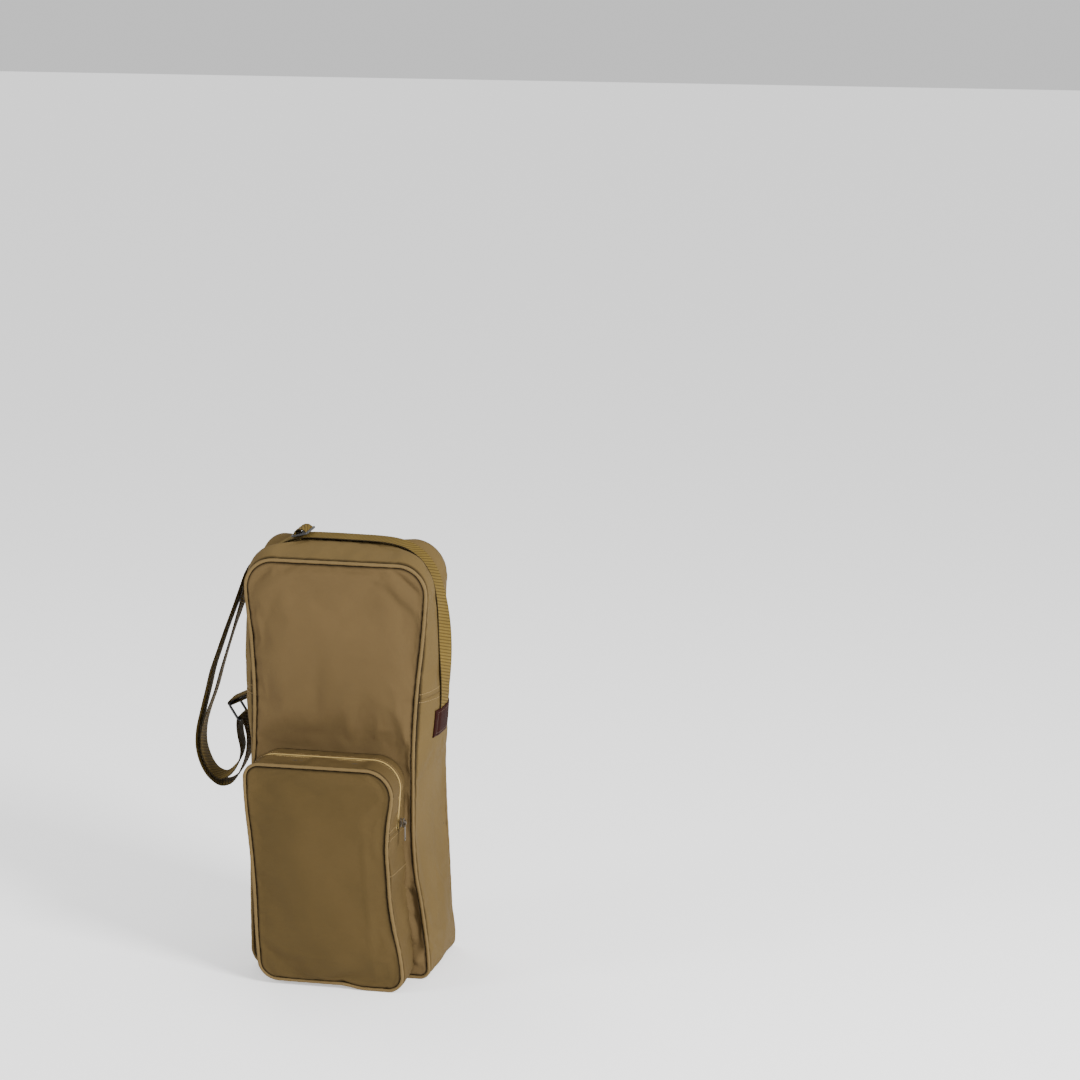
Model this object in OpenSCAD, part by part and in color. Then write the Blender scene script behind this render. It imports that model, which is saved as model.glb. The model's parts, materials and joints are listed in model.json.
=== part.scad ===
// Soft carrying case for a folded box easel: a tall zipped main bag with a
// zipped pocket on its front and a webbing shoulder strap. It stands on its base.
// Frame: X to the wearer's right as seen from the front, -Y is the front, +Z is up.
// The origin is the middle of the underside of the main bag.

/* [Main bag] */
// Width of the main bag at its front and back panels
bag_w = 280; // [250:1:300]
// Height of the front and back panels
bag_h = 638; // [600:1:660]
// Depth of the main bag from front panel to back panel
bag_d = 150; // [140:1:160]
// Height of the seam where the front flap folds down
fold_z = 434; // [420:1:450]
// Corner radius at the top of the front panel
front_corner_r = 45; // [38:1:48]
// Corner radius at the top of the back panel
back_corner_r = 62; // [58:1:66]
// Corner radius at the bottom of both panels
base_corner_r = 30; // [24:1:34]
// How far the right side draws in below the fold
waist_right = 20; // [0:1:22]
// How far the left side draws in below the fold
waist_left = 11; // [0:1:14]
// How far the gusset swells along its middle, over the top
top_dome = 11; // [6:0.5:11]
// How far the gusset swells along its middle, at the sides
side_dome = 5; // [2:0.5:6]

/* [Pocket] */
// Width of the pocket
pocket_w = 225; // [200:1:230]
// Height of the pocket
pocket_h = 348; // [330:1:355]
// Depth of the pocket at its top
pocket_top_d = 75; // [65:1:80]
// Depth of the pocket at its bottom
pocket_base_d = 61; // [55:1:64]
// Distance of the pocket's zip from the front panel
pocket_zip_d = 28; // [24:1:32]
// Height of the seam where the pocket's flap folds down
pocket_fold_z = 243; // [230:1:250]
// Corner radius at the top of the pocket
pocket_corner_r = 45; // [35:1:50]
// How far the pocket's upper half sits towards the left
pocket_shift = 6; // [0:1:8]
// How far the pocket's right side draws in
pocket_waist_right = 12; // [0:1:14]
// How far the pocket's left side draws in
pocket_waist_left = 4; // [0:1:6]

/* [Cloth and webbing] */
// Thickness of the bag's coated canvas with its lining
cloth_t = 1.8; // [1.5:0.1:2]
// Radius of the corded piping
piping_r = 2.5; // [2:0.1:2.5]
// Width of the strap webbing
strap_w = 38; // [34:1:40]
// Thickness of the strap webbing
strap_t = 1.6; // [1.4:0.1:1.6]
// Thickness of the leather patches
leather_t = 1.6; // [1.2:0.1:1.8]

/* [Hidden] */

// Clearances
gap = 0.15;            // either side of a cut or between sewn neighbours
cloth_gap = 0.25;      // between stacked layers of cloth

// Derived places on the main bag
half_w = bag_w / 2;
half_d = bag_d / 2;
rail_y = half_d - 2 * piping_r - gap;    // where the gusset meets the piping
panel_inset = 2 * piping_r + gap;
panel_y = half_d - 0.4;                  // outer face of the front and back panels
waist_z0 = 30;          // height at which both sides begin to draw in

// Zip, common to both zips
coil_edge = 0.5;       // from the zip's middle line to the coil
coil_w = 3;            // width of one half of the coil
coil_top = 0.2;        // depth of the coil's top below the cloth
coil_bottom = 1.9;
tape_top = 2.05;       // depth of the tape's top below the cloth
tape_bottom = 2.85;
tape_reach = 15;       // from the zip's middle line to the tape's sewn edge
band_edge = 4;         // from the zip's middle line to the band's edge
slider_w = 11;
slider_l = 14;
slider_lift = 0.35;    // from the cloth to the slider's outer plate
slider_plate_t = 1.3;
slider_web_w = 0.6;
slider_depth = tape_bottom + 0.2;   // from the cloth to the slider's inner plate
bail_w = 4;
bail_reach = 2.6;      // clear space between the outer plate and the bail's bar
bail_bar = 1;
bail_leg = 1.6;
bail_z0 = 3;
puller_l = 30;
puller_w = 8;
puller_t = 1;
puller_leg = 1.3;
puller_bar = 1.7;
puller_hole_l = 9;
main_slider_z = fold_z + 9;
pocket_slider_z = pocket_fold_z + 5;

// Stations along an outline
side_steps = 9;
base_steps = 5;
top_steps = 7;

// Places on the pocket
pocket_half = pocket_w / 2;
pocket_base_r = 32;
pocket_back_y = -half_d - 0.3;
pocket_zip_y = -half_d - pocket_zip_d;

// Strap
swing_z = 413;         // height of the axis that the strap swings on
strap_half = strap_w / 2;
notch_start = 1;       // how far in front of its middle the strap's relief starts
notch_h = 31;          // relief under the strap's trailing edge
// Middle line of the strap from the right side, over the top, to the left side
strap_route = [
  [152, 413], [157, 440], [159.5, 500], [158, 560], [152.5, 598], [143.5, 625],
  [128, 645], [104, 656], [60, 658.5], [0, 659], [-60, 659], [-98, 655.5],
  [-124.5, 645.5], [-143.5, 625.5], [-155, 600], [-166, 575], [-180, 536],
  [-194, 492], [-208, 450], [-219, 413]
];
// Middle line of the doubled-back strand, from the adjuster to the left side
return_route = [
  [-66, 656.1], [-95, 653.4], [-121, 643.6], [-140, 624.5], [-151.8, 600],
  [-162.8, 575], [-174.5, 540], [-185, 500], [-198, 450], [-207, 413]
];
// Middle line of the hanging loop, through the ring
loop_route = [
  [-219, 412.7], [-228, 380], [-235, 350], [-236, 322], [-229, 295], [-216, 275],
  [-199, 266], [-182, 272], [-168, 292], [-158, 318], [-155.5, 345],
  [-158.5, 361], [-161.5, 371.5], [-163, 374.6], [-166, 375.9],
  [-169, 374.6], [-170.5, 371.5], [-171.6, 361], [-170.8, 345], [-167.5, 322],
  [-173, 302], [-185, 285], [-199, 277], [-213, 284], [-223.5, 301],
  [-229.5, 325], [-227.5, 352], [-220, 378], [-207, 412.7]
];
ring_bar_in = [-181, 396];     // middle of the ring's bar held by the tab
ring_bar_out = [-166, 371.5];  // middle of the ring's bar that carries the strap
ring_r = 2;
ring_half = 22.5;
tab_r = 3.1;             // of the turn of the tab round the ring
tab_gap = 0.6;           // from the tab's root to the side of the bag
tab_drop = 26;           // how far the tab hangs below level, in degrees
tab_steps = 6;
hump_centre = 0.8;       // webbing over the buckle's bar: its centre above the plate
hump_side = 1.4;
hump_rise = 3.2;
hump_foot = 0.2;
patch_z0 = 366;
patch_z1 = 408;
patch_half_y = 34;
strap_standoff = 0.9;          // from the gusset to what is sewn flat on it
adjuster_x = -79;
adjuster_z = 659.2;
adjuster_tilt = 14;
adjuster_w = 46;
adjuster_l = 26;
adjuster_t = 3;
adjuster_bar = 4;
adjuster_side = 3.5;
adjuster_slot_l = 40;
adjuster_slot_w = (adjuster_l - adjuster_bar - 2 * adjuster_side) / 2;

// ---- outlines ----

// Draw-in of a side at height z, nothing at z0 and z1 and most halfway
function waist(z, z0, z1, amount) =
  z <= z0 || z >= z1 ? 0 : amount * pow(sin(180 * (z - z0) / (z1 - z0)), 2);

// Points along an arc
function arc(cx, cz, r, from, to, n) =
  [for (i = [0:n]) [cx + r * cos(from + (to - from) * i / n),
                    cz + r * sin(from + (to - from) * i / n)]];

// Open outline from the right side at z_low, over the top, to the left side
function arch(half, h, r, z_low, shift) = concat(
  [[half + shift, z_low], [half + shift, (z_low + h - r) / 2]],
  arc(half - r + shift, h - r, r, 0, 90, top_steps),
  [[shift, h]],
  arc(-half + r + shift, h - r, r, 90, 180, top_steps),
  [[-half + shift, (z_low + h - r) / 2], [-half + shift, z_low]]);

// Open outline from the left side at z_high, round the bottom, to the right side
function trough(half, r, z_high, left, right, shift) =
  let (n = side_steps, z0 = r, dz = (z_high - z0) / n)
  concat(
    [for (i = [0:n - 1]) let (z = z_high - i * dz)
      [-half + waist(z, waist_z0, z_high, left) + lean(z, z_high, shift), z]],
    arc(-half + r, r, r, 180, 270, base_steps),
    [[0, 0]],
    arc(half - r, r, r, 270, 360, base_steps),
    [for (i = [1:n]) let (z = z0 + i * dz)
      [half - waist(z, waist_z0, z_high, right) + lean(z, z_high, shift), z]]);

// Sideways lean that grows up to z_high
function lean(z, z_high, shift) = shift * z / z_high;

// Outward normals of an outline that runs anticlockwise
function normals(p, closed = false) = let (n = len(p))
  [for (i = [0:n - 1])
    let (a = p[closed ? (i + n - 1) % n : max(i - 1, 0)],
         b = p[closed ? (i + 1) % n : min(i + 1, n - 1)],
         d = b - a)
    [d[1], -d[0]] / norm(d)];

// An outline moved inwards by depth
function inset(p, depth, closed = false) = let (m = normals(p, closed))
  [for (i = [0:len(p) - 1]) p[i] - depth * m[i]];

// ---- solids from stations ----

// A closed solid skinned over a list of stations, each a ring of the same
// number of points
module skin(stations, closed = false) {
  n = len(stations);
  m = len(stations[0]);
  points = [for (s = stations) each s];
  last = closed ? n - 1 : n - 2;
  sides = [for (i = [0:last], j = [0:m - 1])
    let (a = i * m + j, b = i * m + (j + 1) % m,
         c = ((i + 1) % n) * m + (j + 1) % m, d = ((i + 1) % n) * m + j)
    each [[a, b, c], [a, c, d]]];
  caps = closed ? [] : [[for (j = [m - 1:-1:0]) j],
                        [for (j = [0:m - 1]) (n - 1) * m + j]];
  polyhedron(points, concat(sides, caps), convexity = 10);
}

// ---- main bag ----

// Top corner radius, which grows towards the back
function corner_r(y) =
  back_corner_r + (front_corner_r - back_corner_r) * (half_d - y) / bag_d;
// Swell of the gusset across its depth, none at the panels
function swell(y) = 1 - pow(y / half_d, 2);
function dome(m, y) = swell(y) * (side_dome + (top_dome - side_dome) * pow(m[1], 2));
function low_dome(m, z, y) = swell(y) * side_dome * pow(m[0], 2) * min(1, z / 150);

function upper_path(y) = arch(half_w, bag_h, corner_r(y), fold_z + gap, 0);
function lower_path() =
  trough(half_w, base_corner_r, fold_z - gap, waist_left, waist_right, 0);
// Points of the gusset's outer surface at depth below it, for a given y
function upper_rail(y, depth) = let (p = upper_path(y), m = normals(p))
  [for (i = [0:len(p) - 1]) let (q = p[i] + (dome(m[i], y) - depth) * m[i]) [q[0], y, q[1]]];
function lower_rail(y, depth) = let (p = lower_path(), m = normals(p))
  [for (i = [0:len(p) - 1])
    let (q = p[i] + (low_dome(m[i], p[i][1], y) - depth) * m[i]) [q[0], y, q[1]]];

// Strip of cloth that follows the upper gusset between two y and two depths
module upper_strip(y0, y1, top, bottom, steps = 1) {
  ys = [for (k = [0:steps]) y0 + (y1 - y0) * k / steps];
  outer = [for (y = ys) upper_rail(y, top)];
  inner = [for (y = ys) upper_rail(y, bottom)];
  skin([for (i = [0:len(outer[0]) - 1])
    concat([for (k = [0:steps]) outer[k][i]], [for (k = [steps:-1:0]) inner[k][i]])]);
}

// The same for stations a to b of the lower gusset
module lower_strip(y0, y1, top, bottom, a, b, steps = 1) {
  ys = [for (k = [0:steps]) y0 + (y1 - y0) * k / steps];
  outer = [for (y = ys) lower_rail(y, top)];
  inner = [for (y = ys) lower_rail(y, bottom)];
  skin([for (i = [a:b])
    concat([for (k = [0:steps]) outer[k][i]], [for (k = [steps:-1:0]) inner[k][i]])]);
}

// Corded tube that touches the inside of an outline, with y for its middle
module tube(path, y, r, closed = false) {
  m = normals(path, closed);
  skin([for (i = [0:len(path) - 1])
    [for (k = [7:-1:0]) let (q = path[i] - r * m[i] + r * cos(45 * k) * m[i])
      [q[0], y + r * sin(45 * k), q[1]]]], closed);
}

function bag_outline(y) = concat(
  trough(half_w, base_corner_r, fold_z, waist_left, waist_right, 0),
  [for (i = [1:len(upper_path(y)) - 2]) upper_path(y)[i]]);

// Flat cloth panel inside the piping of the outline at y, from y0 to y0 + cloth_t
module panel(y, y0) {
  translate([0, y0 + cloth_t, 0]) rotate([90, 0, 0])
    linear_extrude(cloth_t)
      polygon(inset(bag_outline(y), panel_inset, true));
}

module back_panel() {
  color("#75634a") panel(half_d, panel_y - cloth_t);
}

module front_panel_whole() {
  panel(-half_d, -panel_y);
}

// Everything above or below a height
module slab(z0, z1) {
  translate([-bag_w, -3 * half_d, z0])
    cube([2 * bag_w, 6 * half_d, z1 - z0]);
}

module front_panel_lower() {
  color("#7d6a4b") intersection() {
    front_panel_whole();
    slab(0, fold_z - gap);
  }
}

module front_panel_upper() {
  color("#7d6a4b") intersection() {
    front_panel_whole();
    slab(fold_z + gap, bag_h);
  }
}

module base_panel() {
  base_half = half_w - base_corner_r - gap;
  color("#75634a")
    translate([-base_half, -rail_y, 0])
      cube([2 * base_half, 2 * rail_y, cloth_t]);
}

// Last station of the trough's left side and first of its right side
left_end = side_steps + base_steps;
right_start = left_end + 2;

module side_gusset_left() {
  color("#8a7350") lower_strip(-rail_y, rail_y, 0, cloth_t, 0, left_end, 4);
}

module side_gusset_right() {
  color("#8a7350")
    lower_strip(-rail_y, rail_y, 0, cloth_t, right_start, len(lower_path()) - 1, 4);
}

module upper_gusset_rear_band() {
  color("#816c4d") upper_strip(band_edge, rail_y, 0, cloth_t, 3);
}

module upper_gusset_front_band() {
  color("#816c4d") upper_strip(-rail_y, -band_edge, 0, cloth_t, 3);
}

module piping_back() {
  color("#99865f") tube(bag_outline(half_d), half_d - piping_r, piping_r, true);
}

module piping_front_lower() {
  color("#99865f") tube(lower_path(), -half_d + piping_r, piping_r);
}

module piping_front_upper() {
  color("#99865f") tube(upper_path(-half_d), -half_d + piping_r, piping_r);
}

// Tape bound round the raw edges of the back seam, inside the bag
module seam_binding_back() {
  binding_w = 9;
  top = cloth_t + 2 * cloth_gap;
  y1 = rail_y - cloth_gap;
  color("#3c3428") upper_strip(y1 - binding_w, y1, top, top + cloth_t);
}

module main_zip_tape_rear() {
  color("#8a7148") upper_strip(coil_edge, tape_reach, tape_top, tape_bottom);
}

module main_zip_tape_front() {
  color("#8a7148") upper_strip(-tape_reach, -coil_edge, tape_top, tape_bottom);
}

module main_zip_chain_rear() {
  color("#b59a63") upper_strip(coil_edge, coil_edge + coil_w, coil_top, coil_bottom);
}

module main_zip_chain_front() {
  color("#b59a63") upper_strip(-coil_edge - coil_w, -coil_edge, coil_top, coil_bottom);
}

// Zip slider on a cloth face at x = 0: outer face towards +X, opening travel
// along +Z, with a thin web between its plates that runs between the coils
module slider() {
  translate([slider_lift, 0, 0]) {
    translate([0, -slider_w / 2, 0]) cube([slider_plate_t, slider_w, slider_l]);
    for (z = [bail_z0, slider_l - bail_z0 - bail_leg])
      translate([slider_plate_t, -bail_w / 2, z]) cube([bail_reach, bail_w, bail_leg]);
    translate([slider_plate_t + bail_reach, -bail_w / 2, bail_z0])
      cube([bail_bar, bail_w, slider_l - 2 * bail_z0]);
  }
  translate([-slider_depth, -slider_web_w / 2, 0])
    cube([slider_depth + slider_lift, slider_web_w, slider_l]);
  translate([-slider_depth - slider_plate_t, -slider_w / 2, 0])
    cube([slider_plate_t, slider_w, slider_l]);
}

// Flat puller whose crossbar passes through the slider's bail and turns in it
module hanging_puller() {
  x_bar = slider_lift + slider_plate_t + bail_reach / 2;
  z_bar = slider_l / 2 + 1.2;
  z_top = z_bar + puller_bar / 2;
  translate([x_bar - puller_t / 2, 0, 0]) {
    translate([0, -puller_w / 2, z_bar - puller_bar / 2])
      cube([puller_t, puller_w, puller_bar]);
    for (y = [-puller_w / 2, puller_w / 2 - puller_leg])
      translate([0, y, z_top - puller_hole_l - puller_bar])
        cube([puller_t, puller_leg, puller_hole_l + puller_bar]);
    translate([0, -puller_w / 2, z_top - puller_l])
      cube([puller_t, puller_w, puller_l - puller_hole_l - puller_bar]);
  }
}

module at_main_slider() {
  translate([-half_w - side_dome, 0, main_slider_z]) rotate([0, 0, 180]) children();
}

module main_zip_slider() {
  color("#a9a9a6") at_main_slider() slider();
}

module main_zip_puller() {
  color("#a9a9a6") at_main_slider() hanging_puller();
}

// ---- pocket ----

function pocket_front_y(z) =
  -half_d - pocket_base_d - (pocket_top_d - pocket_base_d) * z / pocket_h;
pocket_tilt = atan((pocket_top_d - pocket_base_d) / pocket_h);

function pocket_upper_path() =
  arch(pocket_half, pocket_h, pocket_corner_r, pocket_fold_z + gap, -pocket_shift);
function pocket_lower_path() =
  trough(pocket_half, pocket_base_r, pocket_fold_z - gap,
         pocket_waist_left, pocket_waist_right, -pocket_shift);
function pocket_outline() = concat(
  trough(pocket_half, pocket_base_r, pocket_fold_z,
         pocket_waist_left, pocket_waist_right, -pocket_shift),
  [for (i = [1:len(pocket_upper_path()) - 2]) pocket_upper_path()[i]]);

// Strip along a pocket outline between two edges, each [0, y] for a fixed y or
// [1, d] for a line d behind the leaning front
function edge_y(e, z) = e[0] == 0 ? e[1] : pocket_front_y(z) + e[1];
module pocket_strip(path, edge0, edge1, top, bottom, a = 0, b = -1) {
  outer = inset(path, top);
  inner = inset(path, bottom);
  last = b < 0 ? len(path) - 1 : b;
  skin([for (i = [a:last]) [
    [outer[i][0], edge_y(edge0, outer[i][1]), outer[i][1]],
    [outer[i][0], edge_y(edge1, outer[i][1]), outer[i][1]],
    [inner[i][0], edge_y(edge1, inner[i][1]), inner[i][1]],
    [inner[i][0], edge_y(edge0, inner[i][1]), inner[i][1]]]]);
}

module pocket_tube(path) {
  m = normals(path);
  skin([for (i = [0:len(path) - 1])
    [for (k = [7:-1:0])
      let (q = path[i] - piping_r * m[i] + piping_r * cos(45 * k) * m[i])
      [q[0], pocket_front_y(q[1]) + piping_r + piping_r * sin(45 * k), q[1]]]]);
}

module pocket_front_whole() {
  translate([0, pocket_front_y(0) + 0.4, 0])
    rotate([90 + pocket_tilt, 0, 0])
      translate([0, 0, -cloth_t])
        linear_extrude(cloth_t)
          polygon(inset(pocket_outline(), panel_inset + 0.1, true));
}

module pocket_front_panel_lower() {
  color("#6c5a37") intersection() {
    pocket_front_whole();
    slab(0, pocket_fold_z - gap);
  }
}

module pocket_front_panel_upper() {
  color("#6c5a37") intersection() {
    pocket_front_whole();
    slab(pocket_fold_z + gap, pocket_h);
  }
}

front_edge = [1, panel_inset];

module pocket_gusset_lower() {
  color("#6c5a37")
    pocket_strip(pocket_lower_path(), front_edge, [0, pocket_back_y], 0, cloth_t);
}

module pocket_gusset_rear_band() {
  color("#6c5a37") pocket_strip(pocket_upper_path(),
    [0, pocket_zip_y + band_edge], [0, pocket_back_y], 0, cloth_t);
}

module pocket_gusset_front_band() {
  color("#6c5a37") pocket_strip(pocket_upper_path(),
    front_edge, [0, pocket_zip_y - band_edge], 0, cloth_t);
}

module pocket_piping_lower() {
  color("#99865f") pocket_tube(pocket_lower_path());
}

module pocket_piping_upper() {
  color("#99865f") pocket_tube(pocket_upper_path());
}

module pocket_zip_part(y0, y1, top, bottom) {
  pocket_strip(pocket_upper_path(), [0, pocket_zip_y + y0], [0, pocket_zip_y + y1], top, bottom);
}

module pocket_zip_tape_rear() {
  color("#8a7148") pocket_zip_part(coil_edge, tape_reach, tape_top, tape_bottom);
}

module pocket_zip_tape_front() {
  color("#8a7148") pocket_zip_part(-tape_reach, -coil_edge, tape_top, tape_bottom);
}

module pocket_zip_chain_rear() {
  color("#b59a63") pocket_zip_part(coil_edge, coil_edge + coil_w, coil_top, coil_bottom);
}

module pocket_zip_chain_front() {
  color("#b59a63") pocket_zip_part(-coil_edge - coil_w, -coil_edge, coil_top, coil_bottom);
}

module at_pocket_slider() {
  translate([pocket_half - pocket_shift, pocket_zip_y, pocket_slider_z]) children();
}

module pocket_zip_slider() {
  color("#a9a9a6") at_pocket_slider() slider();
}

module pocket_zip_puller() {
  color("#a9a9a6") at_pocket_slider() hanging_puller();
}

// ---- strap ----

// Catmull-Rom points, each stretch of the route cut into n
function smooth(p, n) = let (last = len(p) - 1)
  concat([for (i = [0:last - 1], k = [0:n - 1])
    let (a = p[max(i - 1, 0)], b = p[i], c = p[i + 1], d = p[min(i + 2, last)], t = k / n)
    0.5 * (2 * b + (c - a) * t + (2 * a - 5 * b + 4 * c - d) * t * t
      + (3 * b - a - 3 * c + d) * t * t * t)], [p[last]]);

// Flat webbing along a route in the XZ plane
module ribbon(route, n) {
  p = smooth(route, n);
  m = normals(p);
  skin([for (i = [0:len(p) - 1])
    let (u = p[i] + m[i] * strap_t / 2, v = p[i] - m[i] * strap_t / 2)
    [[u[0], -strap_half, u[1]], [u[0], strap_half, u[1]],
     [v[0], strap_half, v[1]], [v[0], -strap_half, v[1]]]]);
}

// Relief under the trailing half of the strap, so that it can swing back
module swing_notch() {
  rotate([90, 0, 90])
    translate([0, 0, -bag_w])
      linear_extrude(2 * bag_w)
        polygon([[-notch_start, swing_z - 1], [strap_half + 1, swing_z - 1],
                 [strap_half + 1, swing_z + notch_h], [-notch_start, swing_z + gap]]);
}

module strap_cut(route, n) {
  difference() {
    intersection() {
      ribbon(route, n);
      slab(swing_z + gap, 2 * bag_h);
    }
    swing_notch();
  }
}

module shoulder_strap() {
  color("#7f683e") strap_cut(strap_route, 3);
}

module strap_return_strand() {
  color("#7f683e") strap_cut(return_route, 4);
}

module strap_hanging_loop() {
  color("#7f683e") ribbon(loop_route, 2);
}

// Outer face of the side gusset at its middle, at height z
function side_face(z, amount) =
  half_w + side_dome - waist(z, waist_z0, fold_z - gap, amount);

// Leather patch, stitched flat on the gusset; it follows the lean of the side
module patch(amount, standoff) {
  x0 = side_face(patch_z0, amount) + standoff;
  x1 = side_face(patch_z1, amount) + standoff;
  rotate([90, 0, 0])
    translate([0, 0, -patch_half_y])
      linear_extrude(2 * patch_half_y)
        polygon([[x0, patch_z0], [x0 + leather_t, patch_z0],
                 [x1 + leather_t, patch_z1], [x1, patch_z1]]);
}

module strap_patch_right() {
  color("#49271a") patch(waist_right, strap_standoff + strap_t + cloth_gap);
}

module strap_patch_left() {
  color("#49271a") mirror([1, 0, 0]) patch(waist_left, strap_standoff);
}

// The sewn end of the strap, which runs down behind the right patch
module strap_sewn_end() {
  x0 = side_face(patch_z0, waist_right) + strap_standoff;
  x1 = side_face(patch_z1, waist_right) + strap_standoff;
  top_x = strap_route[0][0];
  color("#7f683e") rotate([90, 0, 0])
    translate([0, 0, -strap_half])
      linear_extrude(strap_w)
        polygon([[x0, patch_z0 + 4], [x0 + strap_t, patch_z0 + 4], [x1 + strap_t, patch_z1],
                 [top_x + strap_t / 2, swing_z - gap], [top_x - strap_t / 2, swing_z - gap],
                 [x1, patch_z1]]);
}

// Where a run of the tab that ends at p leaves the bag at x0
function tab_root(p, x0, drop) = [x0, p[1] + (x0 - p[0]) * tan(drop)];

// Webbing tab: out from the left side, round the ring's bar and back
module ring_tab() {
  x0 = -side_face(swing_z, waist_left) - tab_gap;
  turn = arc(ring_bar_in[0], ring_bar_in[1], tab_r, 90 + tab_drop, 270 + tab_drop, tab_steps);
  route = concat([tab_root(turn[0], x0, tab_drop)], turn,
    [tab_root(turn[tab_steps], x0, tab_drop)]);
  m = normals(route);
  color("#75603a")
    skin([for (i = [0:len(route) - 1])
      let (u = route[i] + m[i] * strap_t / 2, v = route[i] - m[i] * strap_t / 2)
      [[u[0], -strap_half, u[1]], [u[0], strap_half, u[1]],
       [v[0], strap_half, v[1]], [v[0], -strap_half, v[1]]]]);
}

// Rectangular wire ring through the tab and the strap
module strap_ring() {
  reach = norm(ring_bar_out - ring_bar_in);
  angle = atan2(ring_bar_out[1] - ring_bar_in[1], ring_bar_out[0] - ring_bar_in[0]);
  color("#1c1c1c")
    translate([ring_bar_in[0], 0, ring_bar_in[1]])
      rotate([0, -angle, 0]) {
        for (x = [0, reach])
          translate([x, -ring_half, 0])
            rotate([-90, 0, 0]) cylinder(h = 2 * ring_half, r = ring_r, $fn = 48);
        for (y = [-ring_half, ring_half])
          translate([0, y, 0])
            rotate([0, 90, 0]) cylinder(h = reach, r = ring_r, $fn = 48);
        for (x = [0, reach], y = [-ring_half, ring_half])
          translate([x, y, 0]) sphere(r = ring_r, $fn = 48);
      }
}

module at_adjuster() {
  translate([adjuster_x, 0, adjuster_z]) rotate([0, -adjuster_tilt, 0]) children();
}

// Two-slot slide buckle; its left edge rests low and its right edge is lifted
module strap_adjuster() {
  color("#1c1c1c") at_adjuster() difference() {
    translate([0, -adjuster_w / 2, 0]) cube([adjuster_l, adjuster_w, adjuster_t]);
    for (x = [adjuster_side, adjuster_side + adjuster_slot_w + adjuster_bar])
      translate([x, -adjuster_slot_l / 2, -1])
        cube([adjuster_slot_w, adjuster_slot_l, adjuster_t + 2]);
  }
}

// Hump of a circle cut off at the sides, in the plane across the buckle
module hump(reach, rise, foot) {
  intersection() {
    translate([adjuster_l / 2, hump_centre]) circle(r = rise, $fn = 64);
    translate([adjuster_l / 2 - reach, foot]) square([2 * reach, 2 * rise]);
  }
}

// Webbing turned over the buckle's middle bar
module strap_adjuster_wrap() {
  reach = adjuster_bar / 2 + hump_side;
  rise = reach + hump_rise;
  color("#7f683e") at_adjuster()
    rotate([90, 0, 0]) translate([0, 0, -strap_half]) linear_extrude(strap_w)
      difference() {
        hump(reach + strap_t, rise + strap_t, hump_foot);
        hump(reach, rise, -1);
      }
}

back_panel();
front_panel_lower();
base_panel();
side_gusset_right();
side_gusset_left();
upper_gusset_rear_band();
piping_back();
piping_front_lower();
seam_binding_back();
main_zip_tape_rear();
main_zip_chain_rear();
front_panel_upper();
upper_gusset_front_band();
piping_front_upper();
main_zip_tape_front();
main_zip_chain_front();
main_zip_slider();
main_zip_puller();
pocket_front_panel_lower();
pocket_gusset_lower();
pocket_gusset_rear_band();
pocket_piping_lower();
pocket_zip_tape_rear();
pocket_zip_chain_rear();
pocket_front_panel_upper();
pocket_gusset_front_band();
pocket_piping_upper();
pocket_zip_tape_front();
pocket_zip_chain_front();
pocket_zip_slider();
pocket_zip_puller();
strap_patch_right();
strap_patch_left();
strap_sewn_end();
ring_tab();
strap_ring();
strap_hanging_loop();
shoulder_strap();
strap_return_strand();
strap_adjuster();
strap_adjuster_wrap();
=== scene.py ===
"""Looks of the easel carrying bag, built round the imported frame. Metres, +Z up, -Y front."""
import json
import math

import bmesh
import bpy
import numpy as np
from mathutils import Matrix, Vector


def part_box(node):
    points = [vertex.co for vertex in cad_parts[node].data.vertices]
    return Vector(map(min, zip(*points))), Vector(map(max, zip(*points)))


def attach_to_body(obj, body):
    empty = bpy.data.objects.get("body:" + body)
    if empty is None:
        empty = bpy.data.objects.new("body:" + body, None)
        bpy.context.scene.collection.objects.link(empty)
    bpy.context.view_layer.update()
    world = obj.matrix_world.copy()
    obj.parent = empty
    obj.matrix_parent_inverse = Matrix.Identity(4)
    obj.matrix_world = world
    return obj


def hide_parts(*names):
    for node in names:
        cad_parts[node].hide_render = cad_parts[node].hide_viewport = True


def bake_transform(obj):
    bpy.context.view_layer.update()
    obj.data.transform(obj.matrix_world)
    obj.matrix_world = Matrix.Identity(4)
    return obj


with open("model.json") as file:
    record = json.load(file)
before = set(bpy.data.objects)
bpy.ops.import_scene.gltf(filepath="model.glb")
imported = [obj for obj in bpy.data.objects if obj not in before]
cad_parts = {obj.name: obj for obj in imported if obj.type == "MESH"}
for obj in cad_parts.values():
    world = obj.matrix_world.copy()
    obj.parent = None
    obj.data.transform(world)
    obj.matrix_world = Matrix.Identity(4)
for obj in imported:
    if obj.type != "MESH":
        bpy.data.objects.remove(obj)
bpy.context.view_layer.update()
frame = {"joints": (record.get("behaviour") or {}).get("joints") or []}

MM = 0.001

# ---------------------------------------------------------------- sizes from the frame
HALF_W, HALF_D, BAG_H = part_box("piping_back")[1]
FOLD_Z = frame["joints"][0]["pos_m"][2]
MID_X = -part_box("main_zip_chain_rear")[0].x          # the gusset's middle line at the sides
DOME_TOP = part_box("main_zip_chain_rear")[1].z        # and over the top
POCKET_TOP_Y, POCKET_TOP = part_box("pocket_piping_upper")[0].y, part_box("pocket_piping_upper")[1].z
POCKET_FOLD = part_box("pocket_piping_lower")[1].z
POCKET_BASE_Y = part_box("pocket_piping_lower")[1].y - 5 * MM
PIPE_R = 2.5 * MM
CLOTH = 1.5 * MM
BAND_EDGE = 4.2 * MM      # from the pocket zip's middle line to the folded edge of the cloth
MAIN_EDGE = 6.9 * MM      # and from the main zip's
WEB_W = 38 * MM
WEB_T = 1.6 * MM
FULL_TURN = 2 * math.pi

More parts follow.
